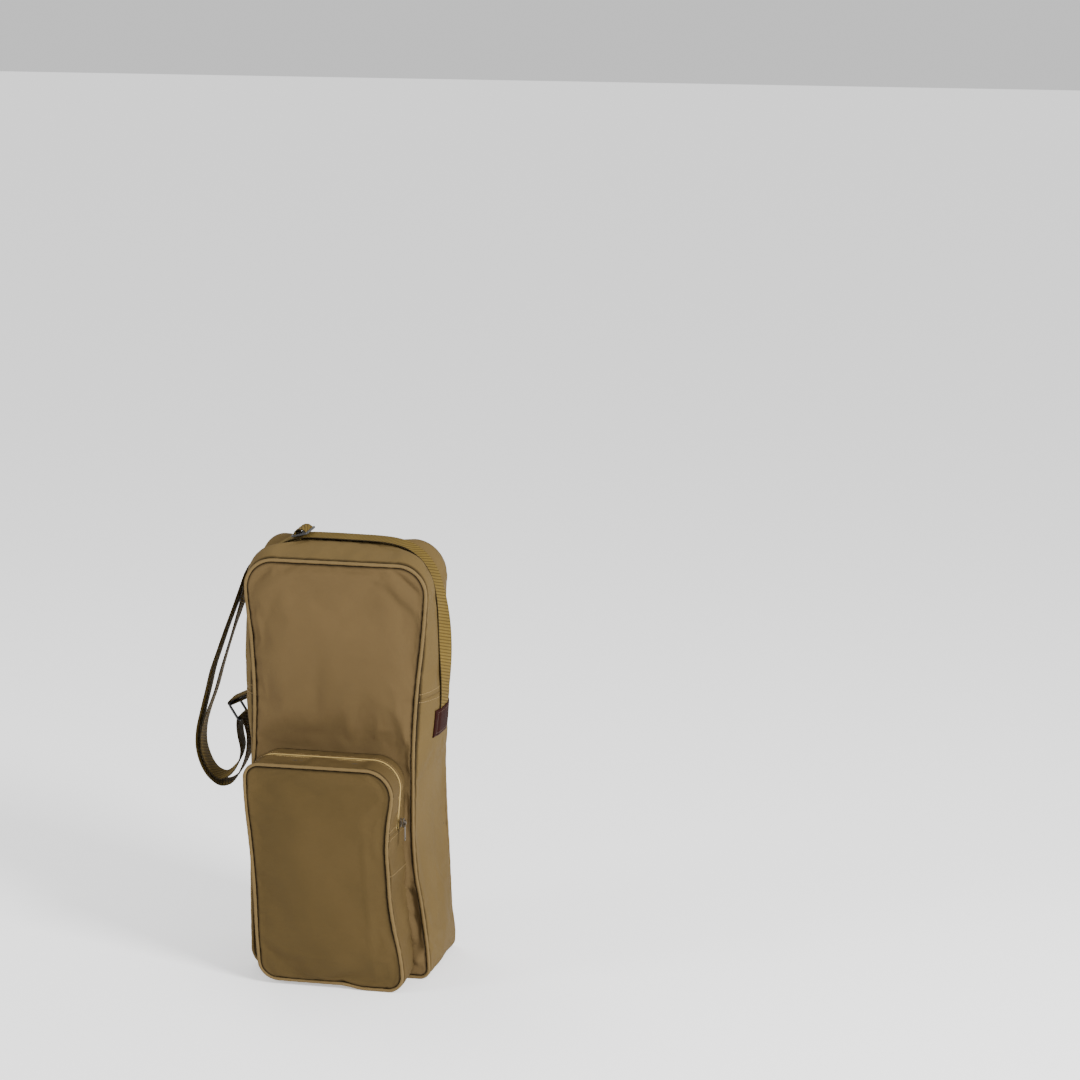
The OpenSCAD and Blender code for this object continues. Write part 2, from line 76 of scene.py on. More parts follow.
# ---------------------------------------------------------------- camera, floor, lights
CAM_AZ, CAM_EL, CAM_DIST = 11.5, 13.5, 4.61
CAM_FOV = 20.0
CAM_AIM = (-0.2854, -0.3432)  # where the bag's middle sits off the view's axis, in metres
LAMPS = {  # place, height of the aim, size, power
    "key": ((2.7, -1.7, 2.2), 0.35, 0.9, 202),
    "fill": ((-2.8, -1.9, 1.7), 0.35, 0.9, 46),
    "top": ((-0.7, 0.9, 2.7), 0.3, 0.8, 18)}
SKY_STRENGTH = 0.8
FLOOR_GLOW = 0.55


def link_object(name, data):
    o = bpy.data.objects.new(name, data)
    bpy.context.collection.objects.link(o)
    return o


def make_camera():
    """A long lens, in front and a little to the right and above, that looks past the bag."""
    az, el = math.radians(CAM_AZ), math.radians(CAM_EL)
    back = Vector((math.sin(az) * math.cos(el), -math.cos(az) * math.cos(el), math.sin(el)))
    right = Vector((0, 0, 1)).cross(back).normalized()
    up = back.cross(right)
    data = bpy.data.cameras.new("camera")
    data.angle = math.radians(CAM_FOV)
    data.clip_start, data.clip_end = 0.1, 50
    camera = link_object("camera", data)
    aim = Vector((0, 0, 0.3)) - CAM_AIM[0] * right - CAM_AIM[1] * up
    rotation = Matrix((right, up, back)).transposed().to_4x4()
    camera.matrix_world = Matrix.Translation(aim + CAM_DIST * back) @ rotation
    bpy.context.scene.camera = camera


def make_studio():
    world = bpy.data.worlds.new("studio")
    bpy.context.scene.world = world
    world.use_nodes = True
    sky = world.node_tree.nodes["Background"]
    sky.inputs["Color"].default_value = (1, 1, 1, 1)
    sky.inputs["Strength"].default_value = SKY_STRENGTH
    for name, (place, aim_z, size, power) in LAMPS.items():
        data = bpy.data.lights.new(name, "AREA")
        data.shape, data.size, data.energy = "SQUARE", size, power
        lamp = link_object(name, data)
        lamp.location = place
        lamp.rotation_mode = "QUATERNION"
        lamp.rotation_quaternion = (Vector((0, 0, aim_z)) - Vector(place)).to_track_quat("-Z", "Y")
    bpy.ops.mesh.primitive_plane_add(size=30, location=(0, 0, -0.0005))
    floor = bpy.context.object
    floor.name = "floor"
    mat = bpy.data.materials.new("floor")
    mat.use_nodes = True
    shade = mat.node_tree.nodes["Principled BSDF"]
    for socket, value in (("Base Color", (0.93, 0.93, 0.93, 1)), ("Roughness", 0.8),
                          ("Emission Color", (1, 1, 1, 1)), ("Emission Strength", FLOOR_GLOW)):
        shade.inputs[socket].default_value = value
    floor.data.materials.append(mat)


make_camera()
make_studio()

# ---------------------------------------------------------------- materials


def srgb(r, g, b):
    """A linear colour from 0-255 display values."""
    def lin(c):
        c /= 255
        return c / 12.92 if c <= 0.04045 else ((c + 0.055) / 1.055) ** 2.4
    return (lin(r), lin(g), lin(b), 1)


def tinted(colour, k):
    return tuple(min(1.0, c * k) for c in colour[:3]) + (1,)


def grey(v):
    return (v, v, v, 1)


def bands(period):
    """The wave texture's scale for a period in metres: UVs are in metres."""
    return FULL_TURN / 20 / period


class Shade:
    """A small helper to wire one material's nodes."""

    def __init__(self, name, colour, roughness, sheen=0.0, metallic=0.0, specular=0.5):
        self.mat = bpy.data.materials.new(name)
        self.mat.use_nodes = True
        self.tree = self.mat.node_tree
        self.shader = self.tree.nodes["Principled BSDF"]
        self.base = colour
        values = {"Base Color": colour, "Roughness": roughness, "Metallic": metallic,
                  "Specular IOR Level": specular}
        if sheen:
            values.update({"Sheen Weight": sheen, "Sheen Roughness": 0.55, "Sheen Tint": colour})
        for socket, value in values.items():
            self.shader.inputs[socket].default_value = value
        self.place = self.node("ShaderNodeTexCoord").outputs["Object"]
        self.uv = self.node("ShaderNodeTexCoord").outputs["UV"]

    def node(self, kind, **values):
        made = self.tree.nodes.new(kind)
        for key, value in values.items():
            if hasattr(made, key):
                setattr(made, key, value)
            else:
                made.inputs[key.replace("_", " ")].default_value = value
        return made

    def feed(self, socket, v):
        """Links v to a socket, or sets it there if it is a plain value."""
        if isinstance(v, (int, float, tuple)):
            socket.default_value = v
        else:
            self.tree.links.new(v, socket)

    def mapped(self, source, scale=(1, 1, 1), turn=0.0):
        m = self.node("ShaderNodeMapping", Scale=scale, Rotation=(0, 0, math.radians(turn)))
        self.feed(m.inputs["Vector"], source)
        return m.outputs["Vector"]

    def noise(self, source, scale, detail=3.0):
        n = self.node("ShaderNodeTexNoise", Scale=scale, Detail=detail, Roughness=0.55)
        self.feed(n.inputs["Vector"], source)
        return n.outputs["Fac"]

    def wave(self, source, period, axis="X", distortion=0.0):
        w = self.node("ShaderNodeTexWave", Scale=bands(period), Distortion=distortion,
                      bands_direction=axis, wave_profile="SIN")
        self.feed(w.inputs["Vector"], source)
        return w.outputs["Fac"]

    def maths(self, op, a, b):
        m = self.node("ShaderNodeMath", operation=op)
        self.feed(m.inputs[0], a)
        self.feed(m.inputs[1], b)
        return m.outputs[0]

    def ramp(self, fac, *stops):
        r = self.node("ShaderNodeValToRGB")
        while len(r.color_ramp.elements) < len(stops):
            r.color_ramp.elements.new(0.5)
        for e, (place, colour) in zip(r.color_ramp.elements, stops):
            e.position, e.color = place, colour
        self.feed(r.inputs["Fac"], fac)
        return r.outputs["Color"]

    def shades(self, fac, *stops):
        """A ramp between lighter and darker tints of the base colour."""
        return self.ramp(fac, *[(place, tinted(self.base, k)) for place, k in stops])

    def mix(self, fac, a, b, kind="MIX"):
        m = self.node("ShaderNodeMix", data_type="RGBA", blend_type=kind)
        for k, v in ((0, fac), (6, a), (7, b)):
            self.feed(m.inputs[k], v)
        return m.outputs[2]

    def finish(self, colour, rough, low, high, *bumps):
        """Colour, roughness between low and high, and bump layers, each (height, strength,
        distance in metres); returns the material."""
        self.feed(self.shader.inputs["Base Color"], colour)
        r = self.node("ShaderNodeMapRange", To_Min=low, To_Max=high)
        self.feed(r.inputs["Value"], rough)
        self.feed(self.shader.inputs["Roughness"], r.outputs["Result"])
        last = None
        for height, strength, distance in bumps:
            b = self.node("ShaderNodeBump", Strength=strength, Distance=distance)
            self.feed(b.inputs["Height"], height)
            if last:
                self.feed(b.inputs["Normal"], last)
            last = b.outputs["Normal"]
        self.feed(self.shader.inputs["Normal"], last)
        return self.mat


THREAD_GAP = 0.00062        # between threads of the canvas
WORN = 0.16                 # how much the canvas's shade changes from place to place


def canvas(name, base):
    """Coated canvas: plain weave, slubs, faint shade changes, painted shade in the creases beside
    the pipings and a dry finish.
    """
    s = Shade(name, base, 0.78, specular=0.06)
    warp = s.wave(s.uv, THREAD_GAP, "X")
    weft = s.wave(s.uv, THREAD_GAP * 1.1, "Y")
    weave = s.maths("MULTIPLY", warp, weft)
    both = s.maths("MAXIMUM", warp, weft)
    slubs = s.maths("ADD", s.noise(s.mapped(s.uv, (30, 900, 1)), 1.0, 2.0),
                    s.noise(s.mapped(s.uv, (900, 30, 1)), 1.0, 2.0))
    mottle = s.noise(s.place, 70.0)
    shade = s.shades(s.noise(s.place, 9.0, 4.0), (0.3, 1 - WORN * 0.6), (0.7, 1 + WORN * 0.6))
    shade = s.mix(s.maths("MULTIPLY", mottle, 0.35), shade, tinted(base, 1.13))
    shade = s.mix(0.55, shade, s.ramp(slubs, (0.35, grey(0.86)), (0.65, grey(1.08))), "MULTIPLY")
    shade = s.mix(0.5, shade, s.ramp(both, (0.0, grey(0.66)), (0.5, grey(1))), "MULTIPLY")
    # painted shade: darkened in the crease beside each piping
    seam = s.node("ShaderNodeAttribute", attribute_name="seam").outputs["Fac"]
    shade = s.mix(s.maths("MULTIPLY", seam, 0.92), shade, tinted(base, 0.06))
    return s.finish(shade, mottle, 0.68, 0.88, (both, 0.35, 0.00012), (weave, 0.25, 0.0001),
                    (slubs, 0.3, 0.00012), (s.noise(s.place, 160.0, 2.0), 0.25, 0.0004))


def lining(name, base):
    s = Shade(name, base, 0.75, sheen=0.2, specular=0.25)
    twill = s.wave(s.mapped(s.uv, turn=45), 0.0009)
    cloud = s.noise(s.place, 14.0)
    shade = s.mix(s.maths("MULTIPLY", twill, 0.3), s.shades(cloud, (0.3, 0.85), (0.7, 1.15)),
                  tinted(base, 1.4))
    return s.finish(shade, cloud, 0.65, 0.85, (twill, 0.35, 0.00015), (cloud, 0.2, 0.001))


def webbing(name, base):
    """Heavy ribbed webbing: cross ribs along its length, painted shade in the grooves between them,
    and a twisted selvedge.
    """
    s = Shade(name, base, 0.7, specular=0.08)
    yarn = s.wave(s.uv, 0.0019, distortion=0.6)
    cross = s.wave(s.uv, RIB, "Y")
    fibre = s.noise(s.mapped(s.uv, (2500, 300, 1)), 1.0, 2.0)
    shade = s.shades(s.noise(s.place, 18.0), (0.3, 0.88), (0.7, 1.12))
    # painted shade: the grooves between the ribs are darkened
    groove_shade = s.ramp(cross, (0.0, (0.4, 0.37, 0.3, 1)), (0.5, grey(1)))
    tips = s.ramp(s.maths("MULTIPLY", yarn, fibre), (0.2, grey(0.85)), (0.6, (1.15, 1.13, 1.05, 1)))
    shade = s.mix(0.7, s.mix(0.9, shade, groove_shade, "MULTIPLY"), tips, "MULTIPLY")
    return s.finish(shade, fibre, 0.6, 0.85, (cross, 0.5, 0.0004), (yarn, 0.4, 0.0002),
                    (fibre, 0.3, 0.00015))


def leather(name, base):
    s = Shade(name, base, 0.7, specular=0.05)
    cells = s.node("ShaderNodeTexVoronoi", Scale=900.0, feature="DISTANCE_TO_EDGE")
    s.feed(cells.inputs["Vector"], s.place)
    grain = s.ramp(cells.outputs["Distance"], (0.0, grey(0)), (0.12, grey(1)))
    cloud = s.noise(s.place, 60.0, 4.0)
    shade = s.mix(s.maths("SUBTRACT", 1.0, s.maths("MULTIPLY", grain, 0.75)),
                  s.shades(cloud, (0.3, 0.75), (0.6, 1), (0.8, 1.35)), tinted(base, 0.45))
    return s.finish(shade, cloud, 0.55, 0.8, (grain, 0.35, 0.00015), (cloud, 0.3, 0.0006))


def thread(name, base):
    s = Shade(name, base, 0.55, sheen=0.2)
    strand = s.noise(s.place, 1500.0, 2.0)
    return s.finish(s.shades(strand, (0.3, 0.8), (0.7, 1.15)), strand, 0.45, 0.7,
                    (strand, 0.4, 0.0001))


def plastic(name, base, rough=0.38):
    s = Shade(name, base, rough)
    rub = s.noise(s.place, 60.0, 5.0)
    return s.finish(s.shades(rub, (0.35, 0.8), (0.75, 1.5)), rub, rough - 0.08, rough + 0.16,
                    (s.noise(s.place, 900.0, 2.0), 0.12, 0.0001))


def metal(name, base, rough=0.3):
    s = Shade(name, base, rough, metallic=1.0)
    brush = s.noise(s.mapped(s.place, (2500, 2500, 120)), 1.0)
    tarnish = s.noise(s.place, 240.0, 4.0)
    return s.finish(s.shades(tarnish, (0.3, 0.55), (0.55, 1), (0.8, 1.15)), brush,
                    rough - 0.08, rough + 0.2, (brush, 0.15, 0.00005), (tarnish, 0.15, 0.0001))


def zip_tape_cloth(name, base):
    s = Shade(name, base, 0.6, sheen=0.2)
    rib = s.wave(s.mapped(s.uv, turn=38), 0.0013)
    cloud = s.noise(s.place, 40.0)
    shade = s.mix(s.maths("MULTIPLY", rib, 0.25), s.shades(cloud, (0.3, 0.88), (0.7, 1.1)),
                  tinted(base, 0.6))
    return s.finish(shade, cloud, 0.55, 0.75, (rib, 0.4, 0.0002))


RIB = 4.9 * MM            # from one cross rib of the webbing to the next
RIB_SKEW = 0.33           # how much the ribs slant

BAG = canvas("bag_canvas", srgb(85, 69, 44))
# painted light: the gussets' canvas is a slightly lighter copy of the bag's, for the light on the
# sides
GUSSET_LIT = canvas("gusset_canvas", srgb(89, 73, 44))
# painted shade: a darker copy of the bag's canvas for the shade on the pocket's face
POCKET_SHADED = canvas("pocket_canvas", srgb(73, 59, 34))
# painted shade: a darker copy of the bag's canvas for the shade on the pocket's sides
POCKET_SIDE_SHADED = canvas("pocket_side_canvas", srgb(79, 64, 38))
LINING = lining("bag_lining", srgb(58, 48, 36))
PIPING = canvas("piping_canvas", srgb(98, 81, 52))
# painted highlight: the rolled band edges are the bag's canvas in a much lighter colour
LIT_EDGE = canvas("edge_canvas", srgb(156, 132, 82))
WEB = webbing("strap_webbing", srgb(100, 82, 37))
# a dark edge colour for the strap that is also painted shadow under its edges
SELVEDGE_AND_SHADOW = webbing("strap_edge", srgb(52, 43, 25))
LEATHER = leather("patch_leather", srgb(43, 14, 8))
THREAD = thread("seam_thread", srgb(126, 103, 62))
DARK_THREAD = thread("dark_thread", srgb(70, 48, 32))
# dark khaki tape and coil, darkened further as painted shade in the zip's gap
TAPE = zip_tape_cloth("zip_tape", srgb(56, 44, 24))
COIL = plastic("zip_coil", srgb(66, 53, 30), 0.42)
BLACK = plastic("black_plastic", srgb(30, 30, 31))
STEEL = metal("zip_metal", srgb(84, 74, 60))
BINDING = lining("binding_tape", srgb(60, 52, 42))

# ---------------------------------------------------------------- mesh helpers


def smooth(t):
    t = np.clip(t, 0, 1)
    return t * t * (3 - 2 * t)


def bell(d, width):
    return np.exp(-(d / width) ** 2)


def unit(v):
    return v / np.maximum(np.linalg.norm(v, axis=-1, keepdims=True), 1e-12)


def lengths(p):
    """How far along a line each of its points is."""
    return np.concatenate([[0], np.cumsum(np.linalg.norm(np.diff(p, axis=0), axis=1))])


def interp_rows(at, d, rows):
    return np.stack([np.interp(at, d, rows[:, k]) for k in range(rows.shape[1])], -1)


def resample(p, step):
    """Points evenly spaced along a line, and how far along each is."""
    d = lengths(p)
    at = np.linspace(0, d[-1], max(2, int(round(d[-1] / step)) + 1))
    return interp_rows(at, d, p), at


def make_object(name, co, faces, mats, uv=None, mat_index=None):
    """A mesh object from points, faces, a UV for each point and a material for each face."""
    me = bpy.data.meshes.new(name)
    me.from_pydata([tuple(p) for p in co], [], [tuple(int(i) for i in f) for f in faces])
    for m in mats:
        me.materials.append(m)
    if mat_index is not None:
        me.polygons.foreach_set("material_index", np.asarray(mat_index, np.int32))
    if uv is not None:
        layer = me.uv_layers.new(name="UVMap")
        loops = np.empty(len(me.loops), np.int32)
        me.loops.foreach_get("vertex_index", loops)
        layer.data.foreach_set("uv", np.asarray(uv, np.float32)[loops].ravel())
    me.polygons.foreach_set("use_smooth", np.full(len(me.polygons), True))
    me.update()
    me.validate()
    return link_object(name, me)


def grid_faces(n, m, closed=False, ring=False):
    """Quads of a grid of n rows of m points; closed joins the last row to the first, and ring
    each row's last point to its first."""
    i = np.arange(n if closed else n - 1)[:, None]
    j = np.arange(m if ring else m - 1)[None, :]
    k, h = (j + 1) % m, (i + 1) % n
    if ring:
        corners = (i * m + j, i * m + k, h * m + k, h * m + j)
    else:
        corners = (i * m + j, h * m + j, h * m + k, i * m + k)
    return np.stack(corners, -1).reshape(-1, 4)


def grid_normals(g, closed=False):
    """Unit normals of a grid of points, from its own rows and columns."""
    du = np.roll(g, -1, 0) - np.roll(g, 1, 0) if closed else np.gradient(g, axis=0)
    return unit(np.cross(du, np.gradient(g, axis=1)))


def grid_uv(g):
    """Lengths along the rows and columns of a grid, in metres."""
    u, v = np.zeros(g.shape[:2]), np.zeros(g.shape[:2])
    u[1:] = np.cumsum(np.linalg.norm(np.diff(g, axis=0), axis=-1), axis=0)
    v[:, 1:] = np.cumsum(np.linalg.norm(np.diff(g, axis=1), axis=-1), axis=1)
    return np.stack([v, np.repeat(u.mean(1, keepdims=True), g.shape[1], 1)], -1)


def fix_normals(me, merge=0.0):
    """Turns every face outwards."""
    b = bmesh.new()
    b.from_mesh(me)
    if merge:
        bmesh.ops.remove_doubles(b, verts=b.verts, dist=merge)
    bmesh.ops.recalc_face_normals(b, faces=b.faces)
    b.to_mesh(me)
    b.free()


CREASE_W = 1.9 * MM       # how far the painted shade in the crease beside a piping reaches


def cloth_piece(name, g, outward, mats, thick=CLOTH, closed=False, seam=None):
    """A sheet with thickness from a grid of points on its outer face. outward is a rough
    direction for its normals: a vector, or a grid of them. seam is how far each point lies
    from the crease beside a piping, and sets where shade is painted into the cloth there."""
    n, m = g.shape[:2]
    nrm = grid_normals(g, closed)
    flip = np.sum(nrm * outward) < 0
    if flip:
        nrm = -nrm
    f = grid_faces(n, m, closed)
    f_out, f_in = (f[:, ::-1], f) if flip else (f, f[:, ::-1])
    idx = np.arange(n * m).reshape(n, m)
    rims = [idx[:, 0], idx[:, -1]] if closed else [
        np.concatenate([idx[:, 0], idx[-1, 1:], idx[-2::-1, -1], idx[0, -2:0:-1]])]
    rim = np.concatenate([np.stack([r, np.roll(r, -1), np.roll(r, -1) + n * m, r + n * m], -1)
                          for r in rims])
    uv = grid_uv(g).reshape(-1, 2)
    index = np.zeros(2 * len(f) + len(rim))
    index[len(f):2 * len(f)] = len(mats) - 1
    o = make_object(name, np.concatenate([g.reshape(-1, 3), (g - nrm * thick).reshape(-1, 3)]),
                    np.concatenate([f_out, f_in + n * m, rim]), mats,
                    np.concatenate([uv, uv]), index)
    if seam is not None:
        # painted shade: a weight for darkening the cloth in the crease beside a piping
        near = bell(np.maximum(seam, 0), CREASE_W).ravel()
        layer = o.data.attributes.new("seam", "FLOAT", "POINT")
        layer.data.foreach_set("value", np.concatenate([near, near]).astype(np.float32))
    fix_normals(o.data)
    return o


def sweep(name, p, section, side, mats, closed=False, uv=None):
    """A closed section, as offsets (along side, across it), carried along a line of points."""
    t = unit((np.roll(p, -1, 0) - np.roll(p, 1, 0)) if closed else np.gradient(p, axis=0))
    a = np.broadcast_to(np.asarray(side, float), p.shape)
    a = unit(a - t * np.sum(a * t, 1, keepdims=True))
    b = np.cross(t, a)
    section = np.asarray(section, float)
    if section.ndim == 2:
        section = np.broadcast_to(section, (len(p),) + section.shape)
    g = p[:, None] + section[..., :1] * a[:, None] + section[..., 1:2] * b[:, None]
    n, m = g.shape[:2]
    faces = [tuple(f) for f in grid_faces(n, m, closed, True)]
    if not closed:
        faces += [tuple(range(m))[::-1], tuple((n - 1) * m + k for k in range(m))]
    if uv is None:
        uv = np.stack([np.broadcast_to(lengths(section[0]), (n, m)),
                       np.broadcast_to(lengths(p)[:, None], (n, m))], -1).reshape(-1, 2)
    o = make_object(name, g.reshape(-1, 3), faces, mats, uv)
    fix_normals(o.data)
    return o


def ring_section(r, n=10):
    a = np.arange(n) * FULL_TURN / n
    return np.stack([r * np.cos(a), r * np.sin(a)], -1)


def join(name, objects):
    """One object from several."""
    bpy.ops.object.select_all(action="DESELECT")
    for o in objects:
        o.select_set(True)
    bpy.context.view_layer.objects.active = objects[0]
    bpy.ops.object.join()
    made = bpy.context.view_layer.objects.active
    made.name = made.data.name = name
    return made


def place_many(name, template, faces, centres, x, y, z, mats):
    """Copies of a small template mesh at centres, with axes x, y and z (arrays)."""
    co = centres[:, None] + sum(template[None, :, k:k + 1] * axis[:, None]
                                for k, axis in enumerate((x, y, z)))
    first = (np.arange(len(centres)) * len(template))[:, None, None]
    return make_object(name, co.reshape(-1, 3),
                       (np.asarray(faces)[None] + first).reshape(-1, 4), mats)


def capsule(length, r, squash=0.7, sides=6):
    """A rounded grain along X that lies on z = 0, as points and four-sided faces."""
    rings = [(-0.5, 0.25), (-0.36, 0.85), (0, 1), (0.36, 0.85), (0.5, 0.25)]
    pts = [[u * length, r * w * math.cos(a), squash * r * w * math.sin(a)]
           for u, w in rings for a in np.arange(sides) * FULL_TURN / sides]
    last = (len(rings) - 1) * sides
    faces = grid_faces(len(rings), sides, ring=True).tolist()
    faces += [[3, 2, 1, 0], [5, 4, 3, 0], [last, last + 1, last + 2, last + 3],
              [last, last + 3, last + 4, last + 5]]
    return np.array(pts), faces


def stitches(name, lines, mat, pitch, length, r):
    """Stitches along lines of (points, outward directions), each sunk a little into the cloth."""
    c, x, y, z = [], [], [], []
    for p, out in lines:
        d = lengths(p)
        at = np.arange(pitch / 2, d[-1], pitch)
        v = interp_rows(at, d, np.concatenate([p, np.broadcast_to(out, p.shape)], 1))
        w = unit(interp_rows(at + 0.0004, d, p) - interp_rows(at - 0.0004, d, p))
        n = unit(v[:, 3:] - w * np.sum(v[:, 3:] * w, 1, keepdims=True))
        c.append(v[:, :3] + n * 0.12 * MM)
        x.append(w)
        y.append(np.cross(n, w))
        z.append(n)
    pts, faces = capsule(length, r)
    return place_many(name, pts, faces, *(np.concatenate(v) for v in (c, x, y, z)), [mat])


def dress(o, slot, attach, *nodes):
    """Hides the CAD nodes a piece stands for and puts the piece on its body. slot is not used."""
    if nodes:
        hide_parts(*nodes)
    attach(o)
    return o


def on_root(o):
    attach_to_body(o, "root")


def on_flap(o):
    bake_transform(o)


def on_pocket_flap(o):
    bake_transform(o)


# ---------------------------------------------------------------- cloth simulation
CLOTH_SETTINGS = dict(
    quality=6, mass=0.25, tension_stiffness=40, compression_stiffness=40, shear_stiffness=15,
    bending_stiffness=1.5, tension_damping=8, compression_damping=8, shear_damping=8,
    bending_damping=2, air_damping=3, vertex_group_mass="pin", pin_stiffness=1,
    use_pressure=True)
FRAMES = 12


def settle(name, g, pinned, shrink, pressure, cap):
    """Lets a grid of cloth, held at its pinned points and cut a little large, buckle and
    swell under a light pressure; returns the grid after it, moved no more than cap."""
    n, m = g.shape[:2]
    o = make_object(name + "_sim", g.reshape(-1, 3), grid_faces(n, m), [])
    group = o.vertex_groups.new(name="pin")
    held = np.round(pinned.ravel(), 2)
    for w in np.unique(held[held > 0]):
        group.add([int(k) for k in np.flatnonzero(np.abs(held - w) < 1e-6)], float(w), "REPLACE")
    mod = o.modifiers.new("cloth", "CLOTH")
    for key, value in CLOTH_SETTINGS.items():
        setattr(mod.settings, key, value)
    mod.settings.shrink_min = shrink
    mod.settings.uniform_pressure_force = pressure
    mod.settings.effector_weights.gravity = 0
    mod.collision_settings.use_collision = False
    scene = bpy.context.scene
    mod.point_cache.frame_start, mod.point_cache.frame_end = 1, FRAMES
    for k in range(1, FRAMES + 1):
        scene.frame_set(k)
    e = o.evaluated_get(bpy.context.evaluated_depsgraph_get()).to_mesh()
    out = np.empty(n * m * 3, np.float32)
    e.vertices.foreach_get("co", out)
    bpy.data.objects.remove(o, do_unlink=True)
    scene.frame_set(1)
    move = out.reshape(n, m, 3).astype(float) - g
    far = np.linalg.norm(move, axis=-1, keepdims=True)
    out = g + move * np.minimum(1, cap / np.maximum(far, 1e-9))
    out[..., 2] = np.maximum(out[..., 2], np.minimum(g[..., 2], 0.4 * MM))   # above the floor
    return out


def from_ends(n):
    """How many points each place in a row of n is from the nearer end."""
    return np.minimum(np.arange(n), np.arange(n)[::-1])


def border_pins(n, m):
    """1 on a grid's border, a half beside it and 0 inside."""
    near = np.minimum(from_ends(n)[:, None], from_ends(m)[None, :])
    return np.where(near == 0, 1.0, np.where(near == 1, 0.5, 0.0))


# ---------------------------------------------------------------- outlines of both shells


class Shell:
    """A box of cloth with rounded corners: its side, top and depth as functions of how far
    back a station is (s from 0 at the front to 1 at the back) and of the height z. crown is
    how far its top stands above the shoulders of its corners."""

    def __init__(self, side, top, radius, base_r, fold, depth, crown, warp):
        self.side, self.top, self.radius, self.base_r = side, top, radius, base_r
        self.fold, self.depth, self.crown, self.warp = fold, depth, crown, warp

    def bent(self, halves, flats, level, count):
        """Two sides joined by a flat stretch at a level."""
        t = np.arange(1, count) / count
        x = flats[0] * (1 - t) + flats[1] * t
        return np.concatenate([halves[0], np.stack([x, level + 0 * x], -1), halves[1][::-1]])

    def arch(self, s, n_side=24, n_corner=18, n_top=34):
        """Right fold, over the top, to the left fold, as (x, z)."""
        ends, flats = [], []
        a = np.linspace(0, math.pi / 2, n_corner + 1)
        for sign in (1, -1):
            r = self.radius(sign, s)
            zc = self.top(s) - self.crown(s) - r
            z = self.fold + (zc - self.fold) * np.arange(n_side) / n_side
            edge = float(self.side(sign, zc, s))
            corner = np.stack([edge + sign * r * (np.cos(a) - 1),
                               zc + (self.top(s) - zc) * np.sin(a)], -1)
            ends.append(np.concatenate([np.stack([self.side(sign, z, s), z], -1), corner]))
            flats.append(edge - sign * r)
        return self.bent(ends, flats, self.top(s), n_top)

    def trough(self, s, n_side=80, n_corner=10, n_base=44):
        """Left fold, down and under, to the right fold, as (x, z)."""
        halves, flats = [], []
        a = np.linspace(0, math.pi / 2, n_corner + 1)
        for sign in (-1, 1):
            r = self.base_r(sign, s)
            z = r + (self.fold - r) * np.arange(1, n_side + 1) / n_side
            edge = float(self.side(sign, r, s))
            corner = np.stack([edge + sign * r * (np.cos(a) - 1), r - r * np.sin(a)], -1)
            halves.append(np.concatenate([np.stack([self.side(sign, z, s), z], -1)[::-1],
                                          corner]))
            flats.append(edge - sign * r)
        return self.bent(halves, flats, 0, n_base)


def profile(stations):
    """A smooth curve through (height, half-width) stations in millimetres."""
    h, w = (np.array(v, float) * MM for v in zip(*stations))
    slope = np.gradient(w, h)

    def at(z):
        z = np.clip(z, h[0], h[-1])
        k = np.clip(np.searchsorted(h, z, side="right") - 1, 0, len(h) - 2)
        d = h[k + 1] - h[k]
        t = (z - h[k]) / d
        return ((2 * t ** 3 - 3 * t ** 2 + 1) * w[k] + (t ** 3 - 2 * t ** 2 + t) * d * slope[k]
                + (3 * t ** 2 - 2 * t ** 3) * w[k + 1] + (t ** 3 - t ** 2) * d * slope[k + 1])
    return at


# half-widths of the bag at its front seam and its back seam, on the right (1) and the left (-1)
FRONT = {1: profile([(0, 140), (48, 137), (90, 132), (126, 127), (157, 121.5), (204, 117.5),
                     (282, 117), (374, 119), (451, 125), (527, 134), (600, 139.5), (640, 140)]),
         -1: profile([(0, 139), (80, 139), (160, 138), (225, 137), (290, 134.5), (360, 129.5),
                      (436, 127.5), (513, 130.5), (580, 137), (640, 139)])}
BACK = {1: profile([(0, 143), (30, 143.5), (62, 139.5), (97, 138), (162, 135.5), (226, 132.5),
                    (321, 130.5), (420, 130.5), (520, 132), (583, 134), (640, 135)]),
        -1: profile([(0, 141), (60, 140), (160, 136), (300, 133), (430, 135), (540, 145),
                     (600, 153), (640, 154)])}
WAIST = {1: 20 * MM, -1: 11 * MM}     # the draw-in on the gusset's middle line
CROWN_POWER = {1: 2.6, -1: 3.6}       # how flat the sides are across their depth
WAIST_BASE = 30 * MM


def bag_side(sign, z, s):
    """x of the bag's side across its depth: full in the middle, drawn in at both seams."""
    z = np.asarray(z, float)
    q = 2 * s - 1
    front, back = FRONT[sign](z), BACK[sign](z)
    t = np.clip((z - WAIST_BASE) / (FOLD_Z - WAIST_BASE), 0, 1)
    middle = HALF_W + (MID_X - HALF_W) * np.minimum(1, z / 0.15) \
        - WAIST[sign] * np.sin(math.pi * t) ** 2 - 4 * MM * smooth((z - 0.48) / 0.1)
    straight = (front * (1 - q) + back * (1 + q)) / 2
    x = straight + (middle - (front + back) / 2) * (1 - np.abs(q) ** CROWN_POWER[sign])
    if sign < 0:      # the left side swells between its seam and the zip
        x = x + 5.5 * MM * bell(q + 0.55, 0.28) * smooth((z - 0.3) / 0.15) \
            * (1 - smooth((z - 0.58) / 0.05))
    return sign * x


DOME_LIFT = 4.5 * MM      # the cloth fills out to the strap's underside


def bag_crown(s):
    return (DOME_TOP + DOME_LIFT - BAG_H) * (1 - (2 * s - 1) ** 2)


def bag_corner(sign, s):
    """Radius of the top corners: tight at both faces, and eased under the strap."""
    q = 2 * s - 1
    ends = 45 * (1 - s) + (46 if sign > 0 else 38) * s
    eased = 86 - ends if sign > 0 else 80 - ends
    return (ends + eased * (1 - smooth((np.abs(q) - 0.2) / 0.36))) * MM


